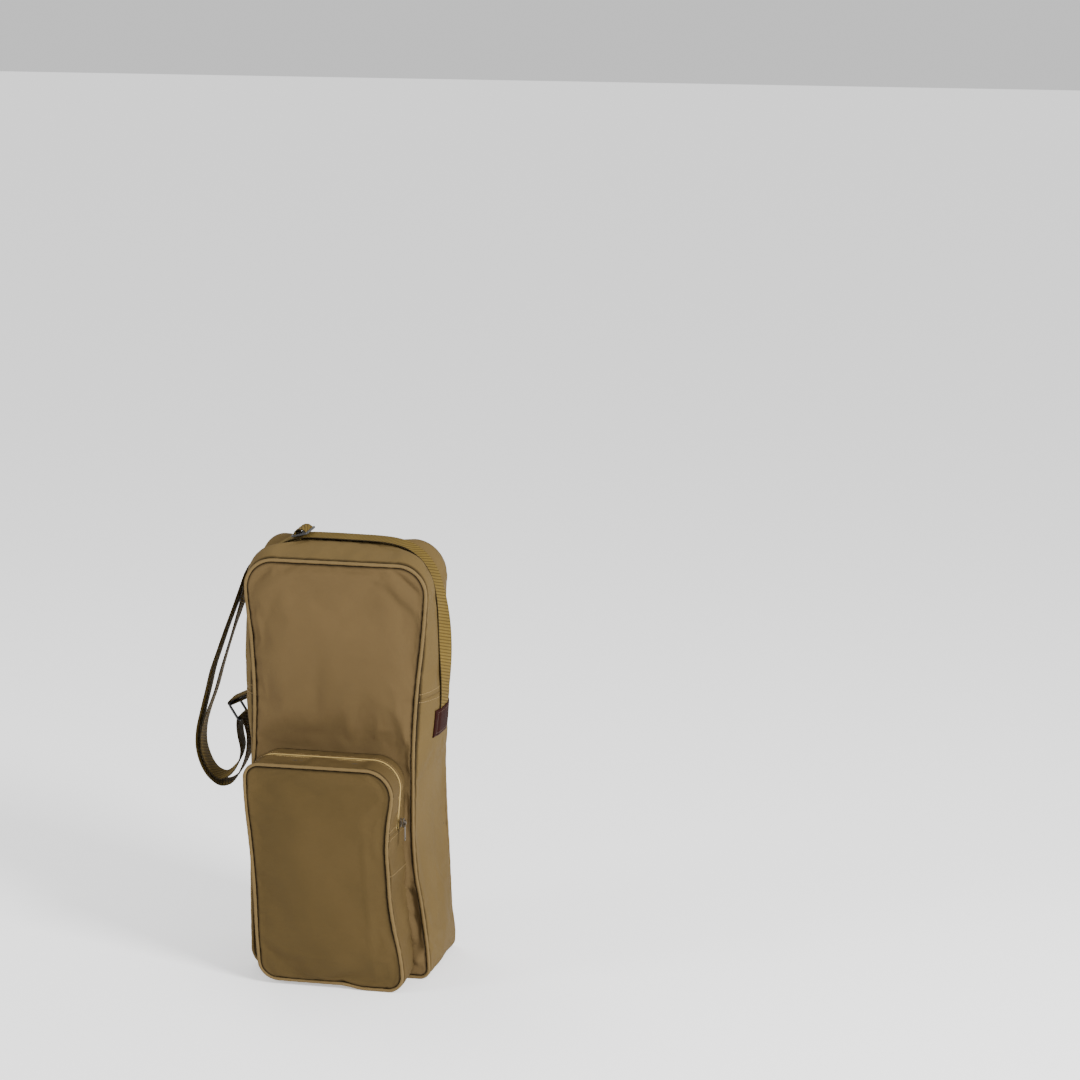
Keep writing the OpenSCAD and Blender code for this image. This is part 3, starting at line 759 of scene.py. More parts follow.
bag = Shell(bag_side, lambda s: BAG_H + bag_crown(s), bag_corner,
            lambda sign, s: (17 - 8 * s if sign > 0 else 30) * MM, FOLD_Z,
            lambda s, z: -HALF_D + 2 * HALF_D * s + 0 * z, bag_crown, lambda p: p)

POCKET_RIGHT = profile([(0, 113.5), (38, 113), (69, 109), (100, 103), (147, 97), (182, 95.5),
                        (228, 94), (259, 96.5), (305, 103), (350, 104)])
POCKET_LEFT = profile([(0, 111), (34, 111), (85, 113), (137, 114), (189, 116), (240, 119.5),
                       (278, 122.5), (327, 123.5), (350, 122)])


def pocket_side(sign, z, s):
    """x of the pocket's side: less drawn in where it meets the bag."""
    z = np.asarray(z, float)
    if sign > 0:
        ease = (111.5 - 9 * np.clip(z / 0.3, 0, 1.1)) * MM
        x = POCKET_RIGHT(z)
        return x + (np.maximum(ease, x) - x) * 0.6 * s
    return -POCKET_LEFT(z) + 5 * MM * s


def pocket_front(z):
    return POCKET_BASE_Y + (POCKET_TOP_Y - POCKET_BASE_Y) * np.clip(z / POCKET_TOP, 0, 1.1)


def pocket_sag(p):
    """The pocket's lower edge rides up a little at the left."""
    p = p.copy()
    lift = 5.5 * MM * (1 - smooth((p[..., 0] / MM - 15) / 40)) \
        * np.maximum(0, 1 - p[..., 2] / 0.07)
    p[..., 2] += lift * np.clip((-HALF_D - p[..., 1]) / 0.05, 0, 1)
    return p


pocket = Shell(pocket_side, lambda s: POCKET_TOP,
               lambda sign, s: (42 if sign > 0 else 24 + 12 * s) * MM,
               lambda sign, s: (25 if sign > 0 else 33) * MM, POCKET_FOLD,
               lambda s, z: pocket_front(z) * (1 - s) - HALF_D * s, lambda s: 0.0, pocket_sag)
POCKET_ZIP_Y = -HALF_D - 28 * MM
TUCK_DEPTH, TUCK_WIDTH = 4.3 * MM, 3.7 * MM


def tuck(e):
    """How far cloth dips as it nears the piping, for a distance e from the piping's middle."""
    return TUCK_DEPTH * bell(np.maximum(e, 0), TUCK_WIDTH)


def at_stations(shell, part, s, counts):
    """Points whose station s differs along the path."""
    paths = np.stack([getattr(shell, part)(t, **counts) for t in np.linspace(0, 1, 9)])
    k = np.clip(s, 0, 1) * 8
    lo = np.minimum(k.astype(int), 7)
    f = (k - lo)[:, None]
    i = np.arange(len(s))
    return paths[lo, i] * (1 - f) + paths[lo + 1, i] * f


def strip(shell, part, stations, depths, **counts):
    """A grid along a shell's arch or trough. stations gives s for each column, as a number or
    from the height z of the point; depths how far each column lies below the outline."""
    columns = []
    for station, depth in zip(stations, depths):
        if np.isscalar(station):
            p = getattr(shell, part)(station, **counts)
            s = np.full(len(p), station)
        else:
            s = station(getattr(shell, part)(0.5, **counts)[:, 1])
            p = at_stations(shell, part, s, counts)
        d = np.gradient(p, axis=0)
        q = p - depth * unit(np.stack([d[:, 1], -d[:, 0]], -1))
        columns.append(np.stack([q[:, 0], shell.depth(s, p[:, 1]), q[:, 1]], -1))
    return shell.warp(np.stack(columns, 1))


def ripples(seed, x, z, scale, count=7):
    """Soft random swells with a wavelength near scale, the same for the same seed."""
    rng = np.random.default_rng(seed)
    out = np.zeros_like(x)
    for _ in range(count):
        a = rng.uniform(0, math.pi)
        k = FULL_TURN / (scale * rng.uniform(0.7, 1.6))
        out += rng.uniform(0.4, 1) * np.sin(k * (x * math.cos(a) + z * math.sin(a))
                                            + rng.uniform(0, 6.3))
    return out / count ** 0.5


def creases(x, z, lines):
    """Soft ridges and grooves, each from a to b: (ax, az, bx, bz, rise, width), all in
    millimetres; a groove's rise is negative."""
    out = 0
    for ax, az, bx, bz, rise, width in lines:
        px, pz, dx, dz = x / MM - ax, z / MM - az, bx - ax, bz - az
        t = np.clip((px * dx + pz * dz) / (dx * dx + dz * dz), 0, 1)
        d = np.hypot(px - t * dx, pz - t * dz)
        out = out + rise * MM * bell(d, width) \
            * (0.35 + 0.65 * np.sin(math.pi * np.clip(t, 0.05, 0.95)))
    return out


# ---------------------------------------------------------------- front, back and pocket faces


def face_rows(shell, s, inset):
    """Rows of a face from bottom to top inside a shell's outline at station s: for each row
    its height and its left and right x, inset from the outline."""
    top = shell.top(s) - shell.crown(s)
    r_max = max(shell.radius(1, s), shell.radius(-1, s))
    b_max = max(shell.base_r(1, s), shell.base_r(-1, s))
    low = b_max - (b_max - inset) * np.sin(np.linspace(math.pi / 2, 0, 16))
    high = top - r_max + (r_max - inset) * np.sin(np.linspace(0, math.pi / 2, 20))
    mids = np.linspace(b_max, top - r_max, 112)[1:-1]
    mids = mids[np.abs(mids - shell.fold) > 2.4 * MM]
    out = []
    for z in np.concatenate([low, np.sort(np.append(mids, shell.fold)), high]):
        row = [z]
        for sign in (-1, 1):
            rt, rb = shell.radius(sign, s), shell.base_r(sign, s)
            edge = float(shell.side(sign, min(max(z, rb), top - rt), s))
            cut = 0.0
            for r, over in ((rb, rb - z), (rt, z - top + rt)):
                if over > 0:
                    cut = (r - inset) - math.sqrt(max(0.0, (r - inset) ** 2 - over ** 2))
            row.append(edge - sign * (inset + cut))
        out.append(row)
    return np.array(out)


def edge_distance(shell, s, x, z):
    """Distance from a face point to the shell's outline, near enough for tucking."""
    top = shell.top(s) - shell.crown(s)
    sides, d = [], np.minimum(top - z, z)
    for sign in (1, -1):
        rt, rb = shell.radius(sign, s), shell.base_r(sign, s)
        far = sign * (shell.side(sign, np.clip(z, rb, top - rt), s) - x)
        sides.append((far, rt, rb))
        d = np.minimum(d, far)
    for near_z, which in ((top - z, 1), (z, 2)):
        for side in sides:
            far, r = side[0], side[which]
            inside = (far < r) & (near_z < r)
            d = np.where(inside, r - np.hypot(r - far, r - near_z), d)
    return d


def front_relief(x, z):
    """How far the main front stands proud: slack cloth over an empty bag."""
    mmx, mmz = x / MM, z / MM
    out = 1.6 * MM * ripples(3, x, z, 0.16) + 0.8 * MM * ripples(11, x, z, 0.07)
    # pulls that run in from the top corners, and one long dent
    out += creases(x, z, [(88, 628, 134, 590, -5.0, 7), (78, 612, 124, 572, 2.6, 9),
                          (-124, 600, -92, 626, -3.0, 7), (-116, 584, -78, 612, 1.6, 9),
                          (-22, 500, -34, 380, -2.4, 13)])
    # soft upright folds over the pocket, where the cloth is drawn in
    folds = np.sin(mmx / 8.8 + 0.6) + 0.6 * np.sin(mmx / 15.0 + 2.0)
    out += 1.7 * MM * folds * bell(mmz - 385, 48) * smooth((mmx + 30) / 70) \
        * (1 - smooth((mmx - 92) / 20))
    out += 4.5 * MM * bell(mmz - 480, 140) * bell(mmx, 105)
    out += 2.6 * MM * (1 - smooth((mmx - 92) / 26)) * bell(mmz - 500, 110)
    out -= 4.0 * MM * bell(mmz - 352, 26) * smooth((mmx + 128) / 25) \
        * (1 - smooth((mmx - 84) / 26))
    # the narrow strip beside the pocket folds in on itself
    out += smooth((mmx - 99) / 8) * creases(x, z, [
        (112, 300, 110, 190, -3.5, 6), (110, 210, 114, 120, -7, 6),
        (115, 150, 125, 60, -15, 7.5), (127, 128, 131, 92, 5.0, 5),
        (106, 140, 131, 122, -8, 4.5), (110, 100, 133, 84, -5.0, 5),
        (104, 36, 138, 30, 7.0, 7), (108, 52, 136, 48, -5.0, 6)])
    return out


def back_relief(x, z):
    return 1.2 * MM * ripples(5, x, z, 0.18)


def pocket_relief(x, z):
    mmx, mmz = x / MM, z / MM
    out = 1.1 * MM * ripples(8, x, z, 0.14) + 0.5 * MM * ripples(21, x, z, 0.06)
    out += 3.6 * MM * bell(mmz - 235, 110) * bell(mmx + 5, 72)
    # the right third turns away to the side from a soft upright edge
    turned = np.clip((mmx - 65 + 0.05 * (mmz - 150)) / 32, 0, 1)
    out += 9.0 * MM * (1 - turned) * smooth((mmx + 105) / 80) * smooth(mmz / 55) \
        * (1 - smooth((mmz - 240) / 80))
    out += creases(x, z, [(94, 300, 66, 262, -2.4, 8), (-104, 320, -76, 296, -1.8, 8),
                          (-96, 60, -70, 36, -1.6, 9)])
    return out + 1.1 * MM * np.sin(mmx / 13 + 1.0) * bell(mmz - 50, 60)


FACE_INSET = 2.5 * MM
CREASE_FROM = 3.2 * MM    # the painted shade of a crease starts this far inside a face's edge


def build_face(name, shell, s, facing, relief, columns, cloth):
    """The front (facing -1) or back (+1) panel of a shell, tucked under its piping."""
    rows = face_rows(shell, s, FACE_INSET)
    t = np.linspace(0, 1, columns)
    # closer columns near the sides, where the cloth turns under the piping
    t = t - 0.095 * np.sin(FULL_TURN * t)
    x = rows[:, 1:2] * (1 - t) + rows[:, 2:3] * t
    z = np.repeat(rows[:, :1], columns, 1)
    e = edge_distance(shell, s, x, z)
    proud = relief(x, z) * smooth((e - 4 * MM) / (16 * MM)) - tuck(e - FACE_INSET)
    g = shell.warp(np.stack([x, shell.depth(s, z) + facing * proud, z], -1))
    pins = np.where(e < FACE_INSET + 2.5 * MM, 1.0, 0.0)
    g = settle(name, g, pins, -0.01, 0.5 * facing, 5 * MM)
    # seam sets where shade is painted in the crease beside the piping
    return cloth_piece(name, g, np.array([0, facing, 0.0]), [cloth, LINING],
                       seam=e - FACE_INSET - CREASE_FROM)


front_panel = dress(build_face("front_panel", bag, 0.0, -1, front_relief, 76, BAG),
                    "bag_canvas", on_flap, "front_panel_lower", "front_panel_upper")
back_panel = dress(build_face("back_panel_cloth", bag, 1.0, 1, back_relief, 60, BAG),
                   "bag_canvas", on_root, "back_panel")

# ---------------------------------------------------------------- piping


def piping(name, shell, s, phase, attach, *nodes):
    """Covered cord round the whole outline at station s, a little uneven."""
    p = np.concatenate([shell.arch(s), shell.trough(s)[1:-1]])
    d = np.roll(p, -1, 0) - np.roll(p, 1, 0)
    q = p - PIPE_R * unit(np.stack([d[:, 1], -d[:, 0]], -1))
    y = shell.depth(s, q[:, 1]) + (PIPE_R if s == 0 else -PIPE_R)
    line = shell.warp(np.stack([q[:, 0], y, q[:, 1]], -1))
    line, at = resample(np.concatenate([line, line[:1]]), 3 * MM)
    line, turn = line[:-1], at[:-1] / at[-2] * FULL_TURN
    wobble = 1 + 0.05 * np.sin(turn * 61 + phase) + 0.03 * np.sin(turn * 143)
    section = ring_section(PIPE_R, 14)[None] * wobble[:, None, None]
    o = sweep(name, line, section, (0, 1, 0), [PIPING], closed=True)
    return dress(o, "piping_cord", attach, *nodes)


piping("front_piping", bag, 0.0, 0.4, on_flap, "piping_front_lower", "piping_front_upper")
piping("back_piping", bag, 1.0, 2.1, on_root, "piping_back")

# ---------------------------------------------------------------- gussets and their zips
BAG_AXIS, POCKET_AXIS = (0, 0.3), (0, 0.17)
CREASE_BESIDE = 2.9 * MM  # how far from a piping's middle the painted shade of its crease starts
LOWER_SIDE_POINTS, LOWER_CORNER_POINTS = 80, 10


def outward(g, centre):
    """Normals of a grid that point away from a centre line along Y."""
    n = grid_normals(g)
    away = g - np.array([centre[0], 0, centre[1]])
    away[..., 1] = 0
    return -n if np.sum(n * away) < 0 else n


def spread(a, b, step, fine_a=True, fine_b=True):
    """Stations from a to b, closer together beside the ends that need it."""
    near = [0, 1.3 * MM, 2.6 * MM, 4.2 * MM, 6.5 * MM]
    y = [a + v for v in near] if fine_a else [a]
    z = [b - v for v in near][::-1] if fine_b else [b]
    n = max(2, int(round((z[0] - y[-1]) / step)))
    return np.array(y + list(np.linspace(y[-1], z[0], n + 1)[1:-1]) + z)


def lip(d):
    """The folded edge of a band beside its zip: a soft roll that drops at the very edge."""
    return 1.3 * MM * bell(d, 1.1 * MM) - 0.7 * MM * bell(d - 2.6 * MM, 1.6 * MM)


def bag_station(y):
    return (y + HALF_D) / (2 * HALF_D)


def pocket_station(y):
    def at(z):
        f = pocket_front(z)
        return (y - f) / (-HALF_D - f)
    return at


def side_relief(g, seed):
    """Slack in the bag's gussets: long soft swells, a flare and creases near the base."""
    x, y, z = g[..., 0], g[..., 1], g[..., 2]
    mmy, mmz = y / MM, z / MM
    mid = np.cos(np.clip(y / HALF_D, -1, 1) * math.pi / 2) ** 0.7
    right = smooth((x / MM - 60) / 40)
    out = 1.4 * MM * ripples(seed, z * 0.55 + x * 0.3, y, 0.10)
    out += right * (3.2 * MM * bell(mmz - 120, 90) * bell(mmy - 12, 42) + creases(y, z, [
        (-52, 300, -40, 90, -2.4, 9), (18, 250, 30, 60, -1.8, 12),
        (-60, 60, -20, 34, -2.6, 6), (-56, 74, -10, 52, 1.6, 7)]))
    # pressed in by the strap's front edge
    out -= right * 3.4 * MM * smooth((mmz - 428) / 16) * (1 - smooth((mmz - 585) / 30)) \
        * smooth((mmy + 32) / 9) * (1 - smooth((mmy + 8) / 26))
    return out * np.maximum(mid, 0)


def held_down(g):
    """How firmly the patches and the strap's root hold the gusset's cloth, from 0 to 1."""
    x, y, z = g[..., 0] / MM, g[..., 1] / MM, g[..., 2] / MM
    patch = (1 - smooth((np.abs(y) - 34) / 10)) * smooth((z - 350) / 12) \
        * (1 - smooth((z - 412) / 12))
    strap = smooth((x - 60) / 40) * (1 - smooth((np.abs(y) - 20) / 9)) \
        * smooth((z - 404) / 10) * (1 - smooth((z - 600) / 24))
    return np.maximum(patch, strap)


def gusset_grid(shell, part, axis, ys, stations, pipe, zip_at, calm_edge, calm_rows, **counts):
    """A strip of gusset with its edges tucked and folded, and how far each of its points may
    stand off. pipe is each column's distance from a piping."""
    depth = tuck(pipe)
    calm = smooth(np.minimum(pipe, 1) / calm_edge[0])
    if zip_at is not None:
        beside = np.abs(ys - zip_at)
        depth = depth + lip(beside)
        calm = calm * smooth(beside / calm_edge[1])
    g = strip(shell, part, stations, depth, **counts)
    return g, outward(g, axis), (calm[None] * smooth(from_ends(len(g)) / calm_rows)[:, None])


def bag_strip(name, seed, part, y0, y1, zip_at=None):
    """A strip of the bag's gusset from y0 to y1, with its columns' places and how far its points lie
    from the creases where shade is painted.
    """
    ys = spread(y0, y1, 5 * MM)
    pipe = np.minimum(np.abs(ys + RAIL), np.abs(ys - RAIL))
    g, nrm, calm = gusset_grid(bag, part, BAG_AXIS, ys, bag_station(ys), pipe, zip_at,
                               (16 * MM, 18 * MM), 6.0)
    g = g + nrm * (side_relief(g, seed) * calm)[..., None]
    pins = np.maximum(border_pins(*g.shape[:2]), held_down(g))
    g = settle(name, g, pins, -0.009, 0.16, 3 * MM)
    return g, ys, np.broadcast_to(pipe, g.shape[:2]) - CREASE_BESIDE


def gusset(name, g, seam, axis, cloth, slot, attach, node):
    o = cloth_piece(name, g, outward(g, axis), [cloth, LINING], seam=seam)
    return dress(o, slot, attach, node)


RAIL = HALF_D - PIPE_R
lower_grid, _, lower_crease_shade = bag_strip("lower_gusset", 12, "trough", -RAIL, RAIL)
rear_grid, rear_ys, rear_crease_shade = bag_strip("upper_rear", 10, "arch", MAIN_EDGE, RAIL, MAIN_EDGE)
fore_grid, fore_ys, fore_crease_shade = bag_strip("upper_fore", 10, "arch", -RAIL, -MAIN_EDGE, -MAIN_EDGE)

# the base runs between the middles of the two lower corners
corner_a = LOWER_SIDE_POINTS + LOWER_CORNER_POINTS // 2 + 1
corner_b = len(lower_grid) - 1 - corner_a
LOWER = [(name, lower_grid[rows], lower_crease_shade[rows], node) for name, rows, node in (
    ("gusset_left", slice(0, corner_a + 1), "side_gusset_left"),
    ("base_cloth", slice(corner_a, corner_b + 1), "base_panel"),
    ("gusset_right", slice(corner_b, None), "side_gusset_right"))]
strips = [(gusset(name, g, seam, BAG_AXIS, GUSSET_LIT, "bag_canvas", on_root, node), g)
          for name, g, seam, node in LOWER]
for name, g, seam, attach, node in (
        ("band_rear", rear_grid, rear_crease_shade, on_root, "upper_gusset_rear_band"),
        ("band_fore", fore_grid, fore_crease_shade, on_flap, "upper_gusset_front_band")):
    strips.append((gusset(name, g, seam, BAG_AXIS, GUSSET_LIT, "bag_canvas", attach, node), g))

ZIP_SINK = 2.3 * MM       # from the cloth's face to the tape
TOOTH_PITCH = 1.7 * MM


def zip_half(tag, shell, station_of, y_zip, sign, nodes, attach):
    """One side of a zip: its tape and its row of coil teeth, sunk under the bands' edges."""
    ys = y_zip + sign * np.array([0.5, 2.0, 4.0, 7.0, 11.0, 15.0]) * MM
    g = strip(shell, "arch", [station_of(y) for y in ys], [ZIP_SINK] * len(ys))
    tape = cloth_piece(tag + "_tape", g, outward(g, BAG_AXIS), [TAPE], 0.7 * MM)
    dress(tape, "zip_tape", attach, nodes[0])
    low, high = (strip(shell, "arch", [station_of(y_zip + sign * 0.9 * MM)], [depth])[:, 0]
                 for depth in (1.9 * MM, 0.9 * MM))
    d = lengths(low)
    at = np.arange(TOOTH_PITCH * (0.5 if sign > 0 else 1.0), d[-1], TOOTH_PITCH)
    v = interp_rows(at, d, np.concatenate([low, high - low], 1))
    out = unit(v[:, 3:])
    across = np.broadcast_to(np.array([0.0, 1.0, 0.0]), out.shape)
    pts, faces = capsule(3.4 * MM, 0.62 * MM, 0.9)
    teeth = place_many(tag + "_teeth", pts, faces, v[:, :3], across, np.cross(across, out), out,
                       [COIL])
    dress(teeth, "zip_coil", attach, nodes[1])


def make_zip(tag, shell, station_of, y_zip, edge, slot, attach_fore):
    """Both halves of a zip and the cloth turned under at both bands' edges, each a narrow
    roll that stands up beside the zip, painted much lighter than the canvas as a highlight."""
    sides = (("rear", "rear", 1, on_root), ("fore", "front", -1, attach_fore))
    for place, word, sign, attach in sides:
        zip_half(f"{tag}_zip_{place}", shell, station_of, y_zip, sign,
                 (f"{tag}_zip_tape_{word}", f"{tag}_zip_chain_{word}"), attach)
    for place, word, sign, attach in sides:
        low = strip(shell, "arch", [station_of(y_zip + sign * edge)], [0.9 * MM])[:, 0]
        line = resample(low, 2.5 * MM)[0]
        # painted highlight: each roll is the band's own canvas, much lighter
        roll = sweep(f"{tag}_edge_{place}", line, ring_section(1.2 * MM, 8), (0, 1, 0), [LIT_EDGE])
        dress(roll, slot, attach)


make_zip("main", bag, bag_station, 0.0, MAIN_EDGE, "bag_canvas", on_flap)

# tape that binds the raw edges of the seam inside, at the back
bind_at = bag_station(np.array([60.0, 63.0, 66.0, 69.0]) * MM)
bound = [strip(bag, part, bind_at, [CLOTH + 1.4 * MM] * 4) for part in ("arch", "trough")]
bound = np.concatenate([bound[0], bound[1][1:-1]])
dress(cloth_piece("seam_binding", bound, outward(bound, BAG_AXIS), [BINDING], 0.8 * MM,
                  closed=True), "seam_binding", on_root, "seam_binding_back")

# ---------------------------------------------------------------- pocket
SEWN_Y = -HALF_D + 3 * MM          # the pocket's rear edge, sunk into the bag's front


def from_piping(r, b):
    """The station a share r of the way from the front piping to y = b, for a height z."""
    def at(z):
        f = pocket_front(z)
        return (f + PIPE_R + (b - f - PIPE_R) * r - f) / (-HALF_D - f)
    return at


def pocket_strip(name, seed, part, a, b, zip_at=None):
    """A strip of the pocket's gusset. a and b are places: a y, or None for the piping."""
    if a is None:
        span = b - (POCKET_BASE_Y + POCKET_TOP_Y) / 2
        n = max(4, int(round(span / (5 * MM))))
        wide = span / MM
        rel = np.concatenate([[0, 1.3, 2.6, 4.2, 6.5], np.linspace(6.5, wide - 4, n)[1:],
                              [wide - 2.5, wide - 1.2, wide]]) * MM / span
        stations = [from_piping(r, b) for r in rel]
        ys = b - span * (1 - rel)
        pipe = rel * span
    else:
        ys = spread(a, b, 5 * MM, zip_at is not None, False)
        stations = [pocket_station(y) for y in ys]
        pipe = np.full(len(ys), 1.0)
    counts = (dict(n_side=18, n_corner=16, n_top=26) if part == "arch"
              else dict(n_side=40, n_corner=10, n_base=34))
    g, nrm, calm = gusset_grid(pocket, part, POCKET_AXIS, ys, stations, pipe, zip_at,
                               (12 * MM, 12 * MM), 5.0, **counts)
    x, y, z = g[..., 0], g[..., 1], g[..., 2]
    slack = 0.9 * MM * ripples(seed, z * 0.6 + x * 0.4, y, 0.07) \
        + 2.2 * MM * bell(z / MM - 110, 60) * bell((y - SEWN_Y) / MM + 28, 20)
    g = settle(name, g + nrm * (slack * calm)[..., None], border_pins(*g.shape[:2]), -0.012,
               0.25, 3 * MM)
    return g, ys, np.broadcast_to(pipe, g.shape[:2]) - CREASE_BESIDE


pocket_low, _, pocket_low_crease_shade = pocket_strip("pocket_low", 14, "trough", None, SEWN_Y)
pocket_back, back_ys, pocket_back_crease_shade = pocket_strip(
    "pocket_rear_band", 20, "arch", POCKET_ZIP_Y + BAND_EDGE, SEWN_Y, POCKET_ZIP_Y + BAND_EDGE)
pocket_fore, pocket_fore_ys, pocket_fore_crease_shade = pocket_strip(
    "pocket_fore_band", 20, "arch", None, POCKET_ZIP_Y - BAND_EDGE, POCKET_ZIP_Y - BAND_EDGE)
for name, g, seam, attach, node in (
        ("pocket_gusset", pocket_low, pocket_low_crease_shade, on_root, "pocket_gusset_lower"),
        ("pocket_band_rear", pocket_back, pocket_back_crease_shade, on_root, "pocket_gusset_rear_band"),
        ("pocket_band_fore", pocket_fore, pocket_fore_crease_shade, on_pocket_flap,
         "pocket_gusset_front_band")):
    strips.append((gusset(name, g, seam, POCKET_AXIS, POCKET_SIDE_SHADED, "pocket_canvas", attach, node),
                   g))
pocket_face = dress(build_face("pocket_face", pocket, 0.0, -1, pocket_relief, 46, POCKET_SHADED),
                    "pocket_canvas", on_pocket_flap, "pocket_front_panel_lower",
                    "pocket_front_panel_upper")
piping("pocket_piping", pocket, 0.0, 1.3, on_pocket_flap, "pocket_piping_lower",
       "pocket_piping_upper")
make_zip("pocket", pocket, pocket_station, POCKET_ZIP_Y, BAND_EDGE, "pocket_canvas",
         on_pocket_flap)

# ---------------------------------------------------------------- shoulder strap


def spline(points, step):
    """A smooth line through points in millimetres, as (x, z) in metres, evenly spaced."""
    p = np.array(points, float) * MM
    p = np.concatenate([[2 * p[0] - p[1]], p, [2 * p[-1] - p[-2]]])
    t = np.linspace(0, 1, 13)[:-1, None]
    out = []
    for a, b, c, d in zip(p, p[1:], p[2:], p[3:]):
        # tangents are kept short beside short spans
        span = np.linalg.norm(c - b)
        m0 = (c - a) * span / (span + np.linalg.norm(b - a))
        m1 = (d - b) * span / (np.linalg.norm(d - c) + span)
        out.append((2 * t ** 3 - 3 * t ** 2 + 1) * b + (t ** 3 - 2 * t ** 2 + t) * m0
                   + (3 * t ** 2 - 2 * t ** 3) * c + (t ** 3 - t ** 2) * m1)
    out.append(p[-2:-1])
    return resample(np.concatenate(out), step)


def side_at(sign, z, off):
    """A place (mm) just off the middle of the bag's side at height z (mm)."""
    return [float(bag_side(sign, z * MM, 0.5)) / MM + sign * off, z]


SEWN = [side_at(1, z, 1.35) for z in (371, 382, 393, 404)]
OVER = [[146.2, 415], [147.4, 432], [148.6, 462], [148.2, 500], [145.6, 548], [140.5, 583],
        [132.3, 610], [119.5, 630.5], [103, 644.5], [86, 652], [60, 656.5], [13, 658],
        [-51, 658.3], [-70, 656.5], [-86, 651.8], [-103, 642.5], [-128.5, 627.5],
        [-143.5, 614.5], [-152.5, 600], [-161, 578], [-173, 547], [-188, 509], [-200, 476],
        [-211, 445], [-219.5, 412]]
LOOP = [[-228, 380], [-235, 350], [-236, 322], [-229, 295], [-216, 275], [-199, 266],
        [-182, 272], [-168, 292], [-158, 318], [-155.5, 345], [-158.5, 361],
        [-161.5, 371.5], [-163, 374.6], [-166, 375.9], [-169, 374.6], [-170.5, 371.5],
        [-171.6, 361], [-170.8, 345], [-167.5, 322], [-173, 302], [-185, 285],
        [-199, 277], [-213, 284], [-223.5, 301], [-229.5, 325], [-227.5, 352],
        [-220, 378], [-207, 412.7]]
BACK_UP = [[-196, 450], [-181.5, 495], [-168, 535], [-156.5, 570], [-148.8, 598],
           [-140, 612.5], [-126, 624], [-101, 639.2], [-84.5, 648.6], [-66, 655.2]]
WEB_STEP = 0.75 * MM
RIB_HEIGHT = 0.3 * MM
# half of the webbing's section: flat faces and round, slightly thin edges
HALF_U = np.array([1, 0.985, 0.95, 0.8, 0.6, 0.4, 0.2, 0]) * WEB_W / 2
HALF_V = np.array([0.3, 0.75, 1, 1, 1, 1, 1, 1]) * WEB_T / 2
FACE = np.stack([np.concatenate([HALF_U, -HALF_U[-2::-1]]),
                 np.concatenate([HALF_V, HALF_V[-2::-1]])], -1)
SECTION = np.concatenate([FACE, FACE[::-1] * np.array([1, -1])])


def web(name, line, at, roll=None):
    """Webbing along a line of (x, z), with slanting ribs, dark edges that also stand in for the
    painted shadow under them, and a roll.
    """
    p = np.stack([line[:, 0], np.zeros(len(line)), line[:, 1]], -1)
    sec = np.repeat(SECTION[None], len(p), 0)
    across = len(SECTION)
    phase = at[:, None] + RIB_SKEW * sec[..., 0]
    uv = np.stack([sec[..., 0], phase], -1).reshape(-1, 2)
    inner = 1 - (np.abs(sec[..., 0]) / (WEB_W / 2)) ** 8
    out = np.abs(SECTION[:, 0])
    edge = np.minimum(out, np.roll(out, -1)) > 0.47 * WEB_W
    sec[..., 1] += np.sign(sec[..., 1]) * -RIB_HEIGHT * np.cos(phase * FULL_TURN / RIB) * inner
    if roll is not None:
        c, s = np.cos(roll)[:, None], np.sin(roll)[:, None]
        sec = np.stack([sec[..., 0] * c - sec[..., 1] * s,
                        sec[..., 0] * s + sec[..., 1] * c], -1)
    o = sweep(name, p, sec, (0, 1, 0), [WEB, SELVEDGE_AND_SHADOW], uv=uv)
    # the edge faces take the dark edge colour, partly painted shadow
    for f in o.data.polygons[:(len(p) - 1) * across]:
        f.material_index = int(edge[f.index % across])
    return o


def roll_along(line, at):
    """The strap lies flat on the bag, leans at its root and turns a little in the air."""
    x, z = line[:, 0] / MM, line[:, 1] / MM
    loose = smooth((-150 - x) / 30) * smooth((600 - z) / 120)
    near_ring = bell(x + 166, 14) * bell(z - 370, 30)
    lean = np.radians(16.0) * smooth((x - 100) / 35) * bell(z - 508, 72)
    turn = np.radians(4.0 * np.sin(at * 9.0 + 0.8) + 4.5 * np.sign(np.gradient(z)))
    turn = np.convolve(np.pad(turn, 20, mode="edge"), np.ones(41) / 41, "valid")
    return loose * (1 - near_ring) * turn - lean


def on_strap(o):
    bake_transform(o)


def on_adjuster(o):
    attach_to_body(o, "adjuster")


strap_line, strap_at = spline(SEWN + OVER + LOOP + BACK_UP, WEB_STEP)
strap = dress(web("strap", strap_line, strap_at, roll_along(strap_line, strap_at)),
              "strap_webbing", on_strap, "shoulder_strap", "strap_return_strand",
              "strap_hanging_loop", "strap_sewn_end")

RING_IN, RING_OUT = (-181.0, 396.0), (-166.0, 371.5)      # the wire's middle line, in mm
TAB_DROP, TAB_R = 26.0, 3.1
tab_turn = [[RING_IN[0] + TAB_R * math.cos(a), RING_IN[1] + TAB_R * math.sin(a)]
            for a in np.radians(np.linspace(90 + TAB_DROP, 270 + TAB_DROP, 9))]


def tab_leg(start, off):
    """From the turn towards the bag, then down its side under the patch."""
    t = math.tan(math.radians(TAB_DROP))
    reach = side_at(-1, 413, off)[0] - start[0]
    inward = [[start[0] + reach * k, start[1] + t * reach * k] for k in (0.35, 0.7, 0.93)]
    return inward + [side_at(-1, start[1] + t * reach - d, off) for d in (5, 12, 22, 34, 46)]


dress(web("ring_tab_web", *spline(tab_leg(tab_turn[0], 3.1)[::-1] + tab_turn
                                  + tab_leg(tab_turn[-1], 1.3), WEB_STEP)),
      "strap_webbing", on_root, "ring_tab")


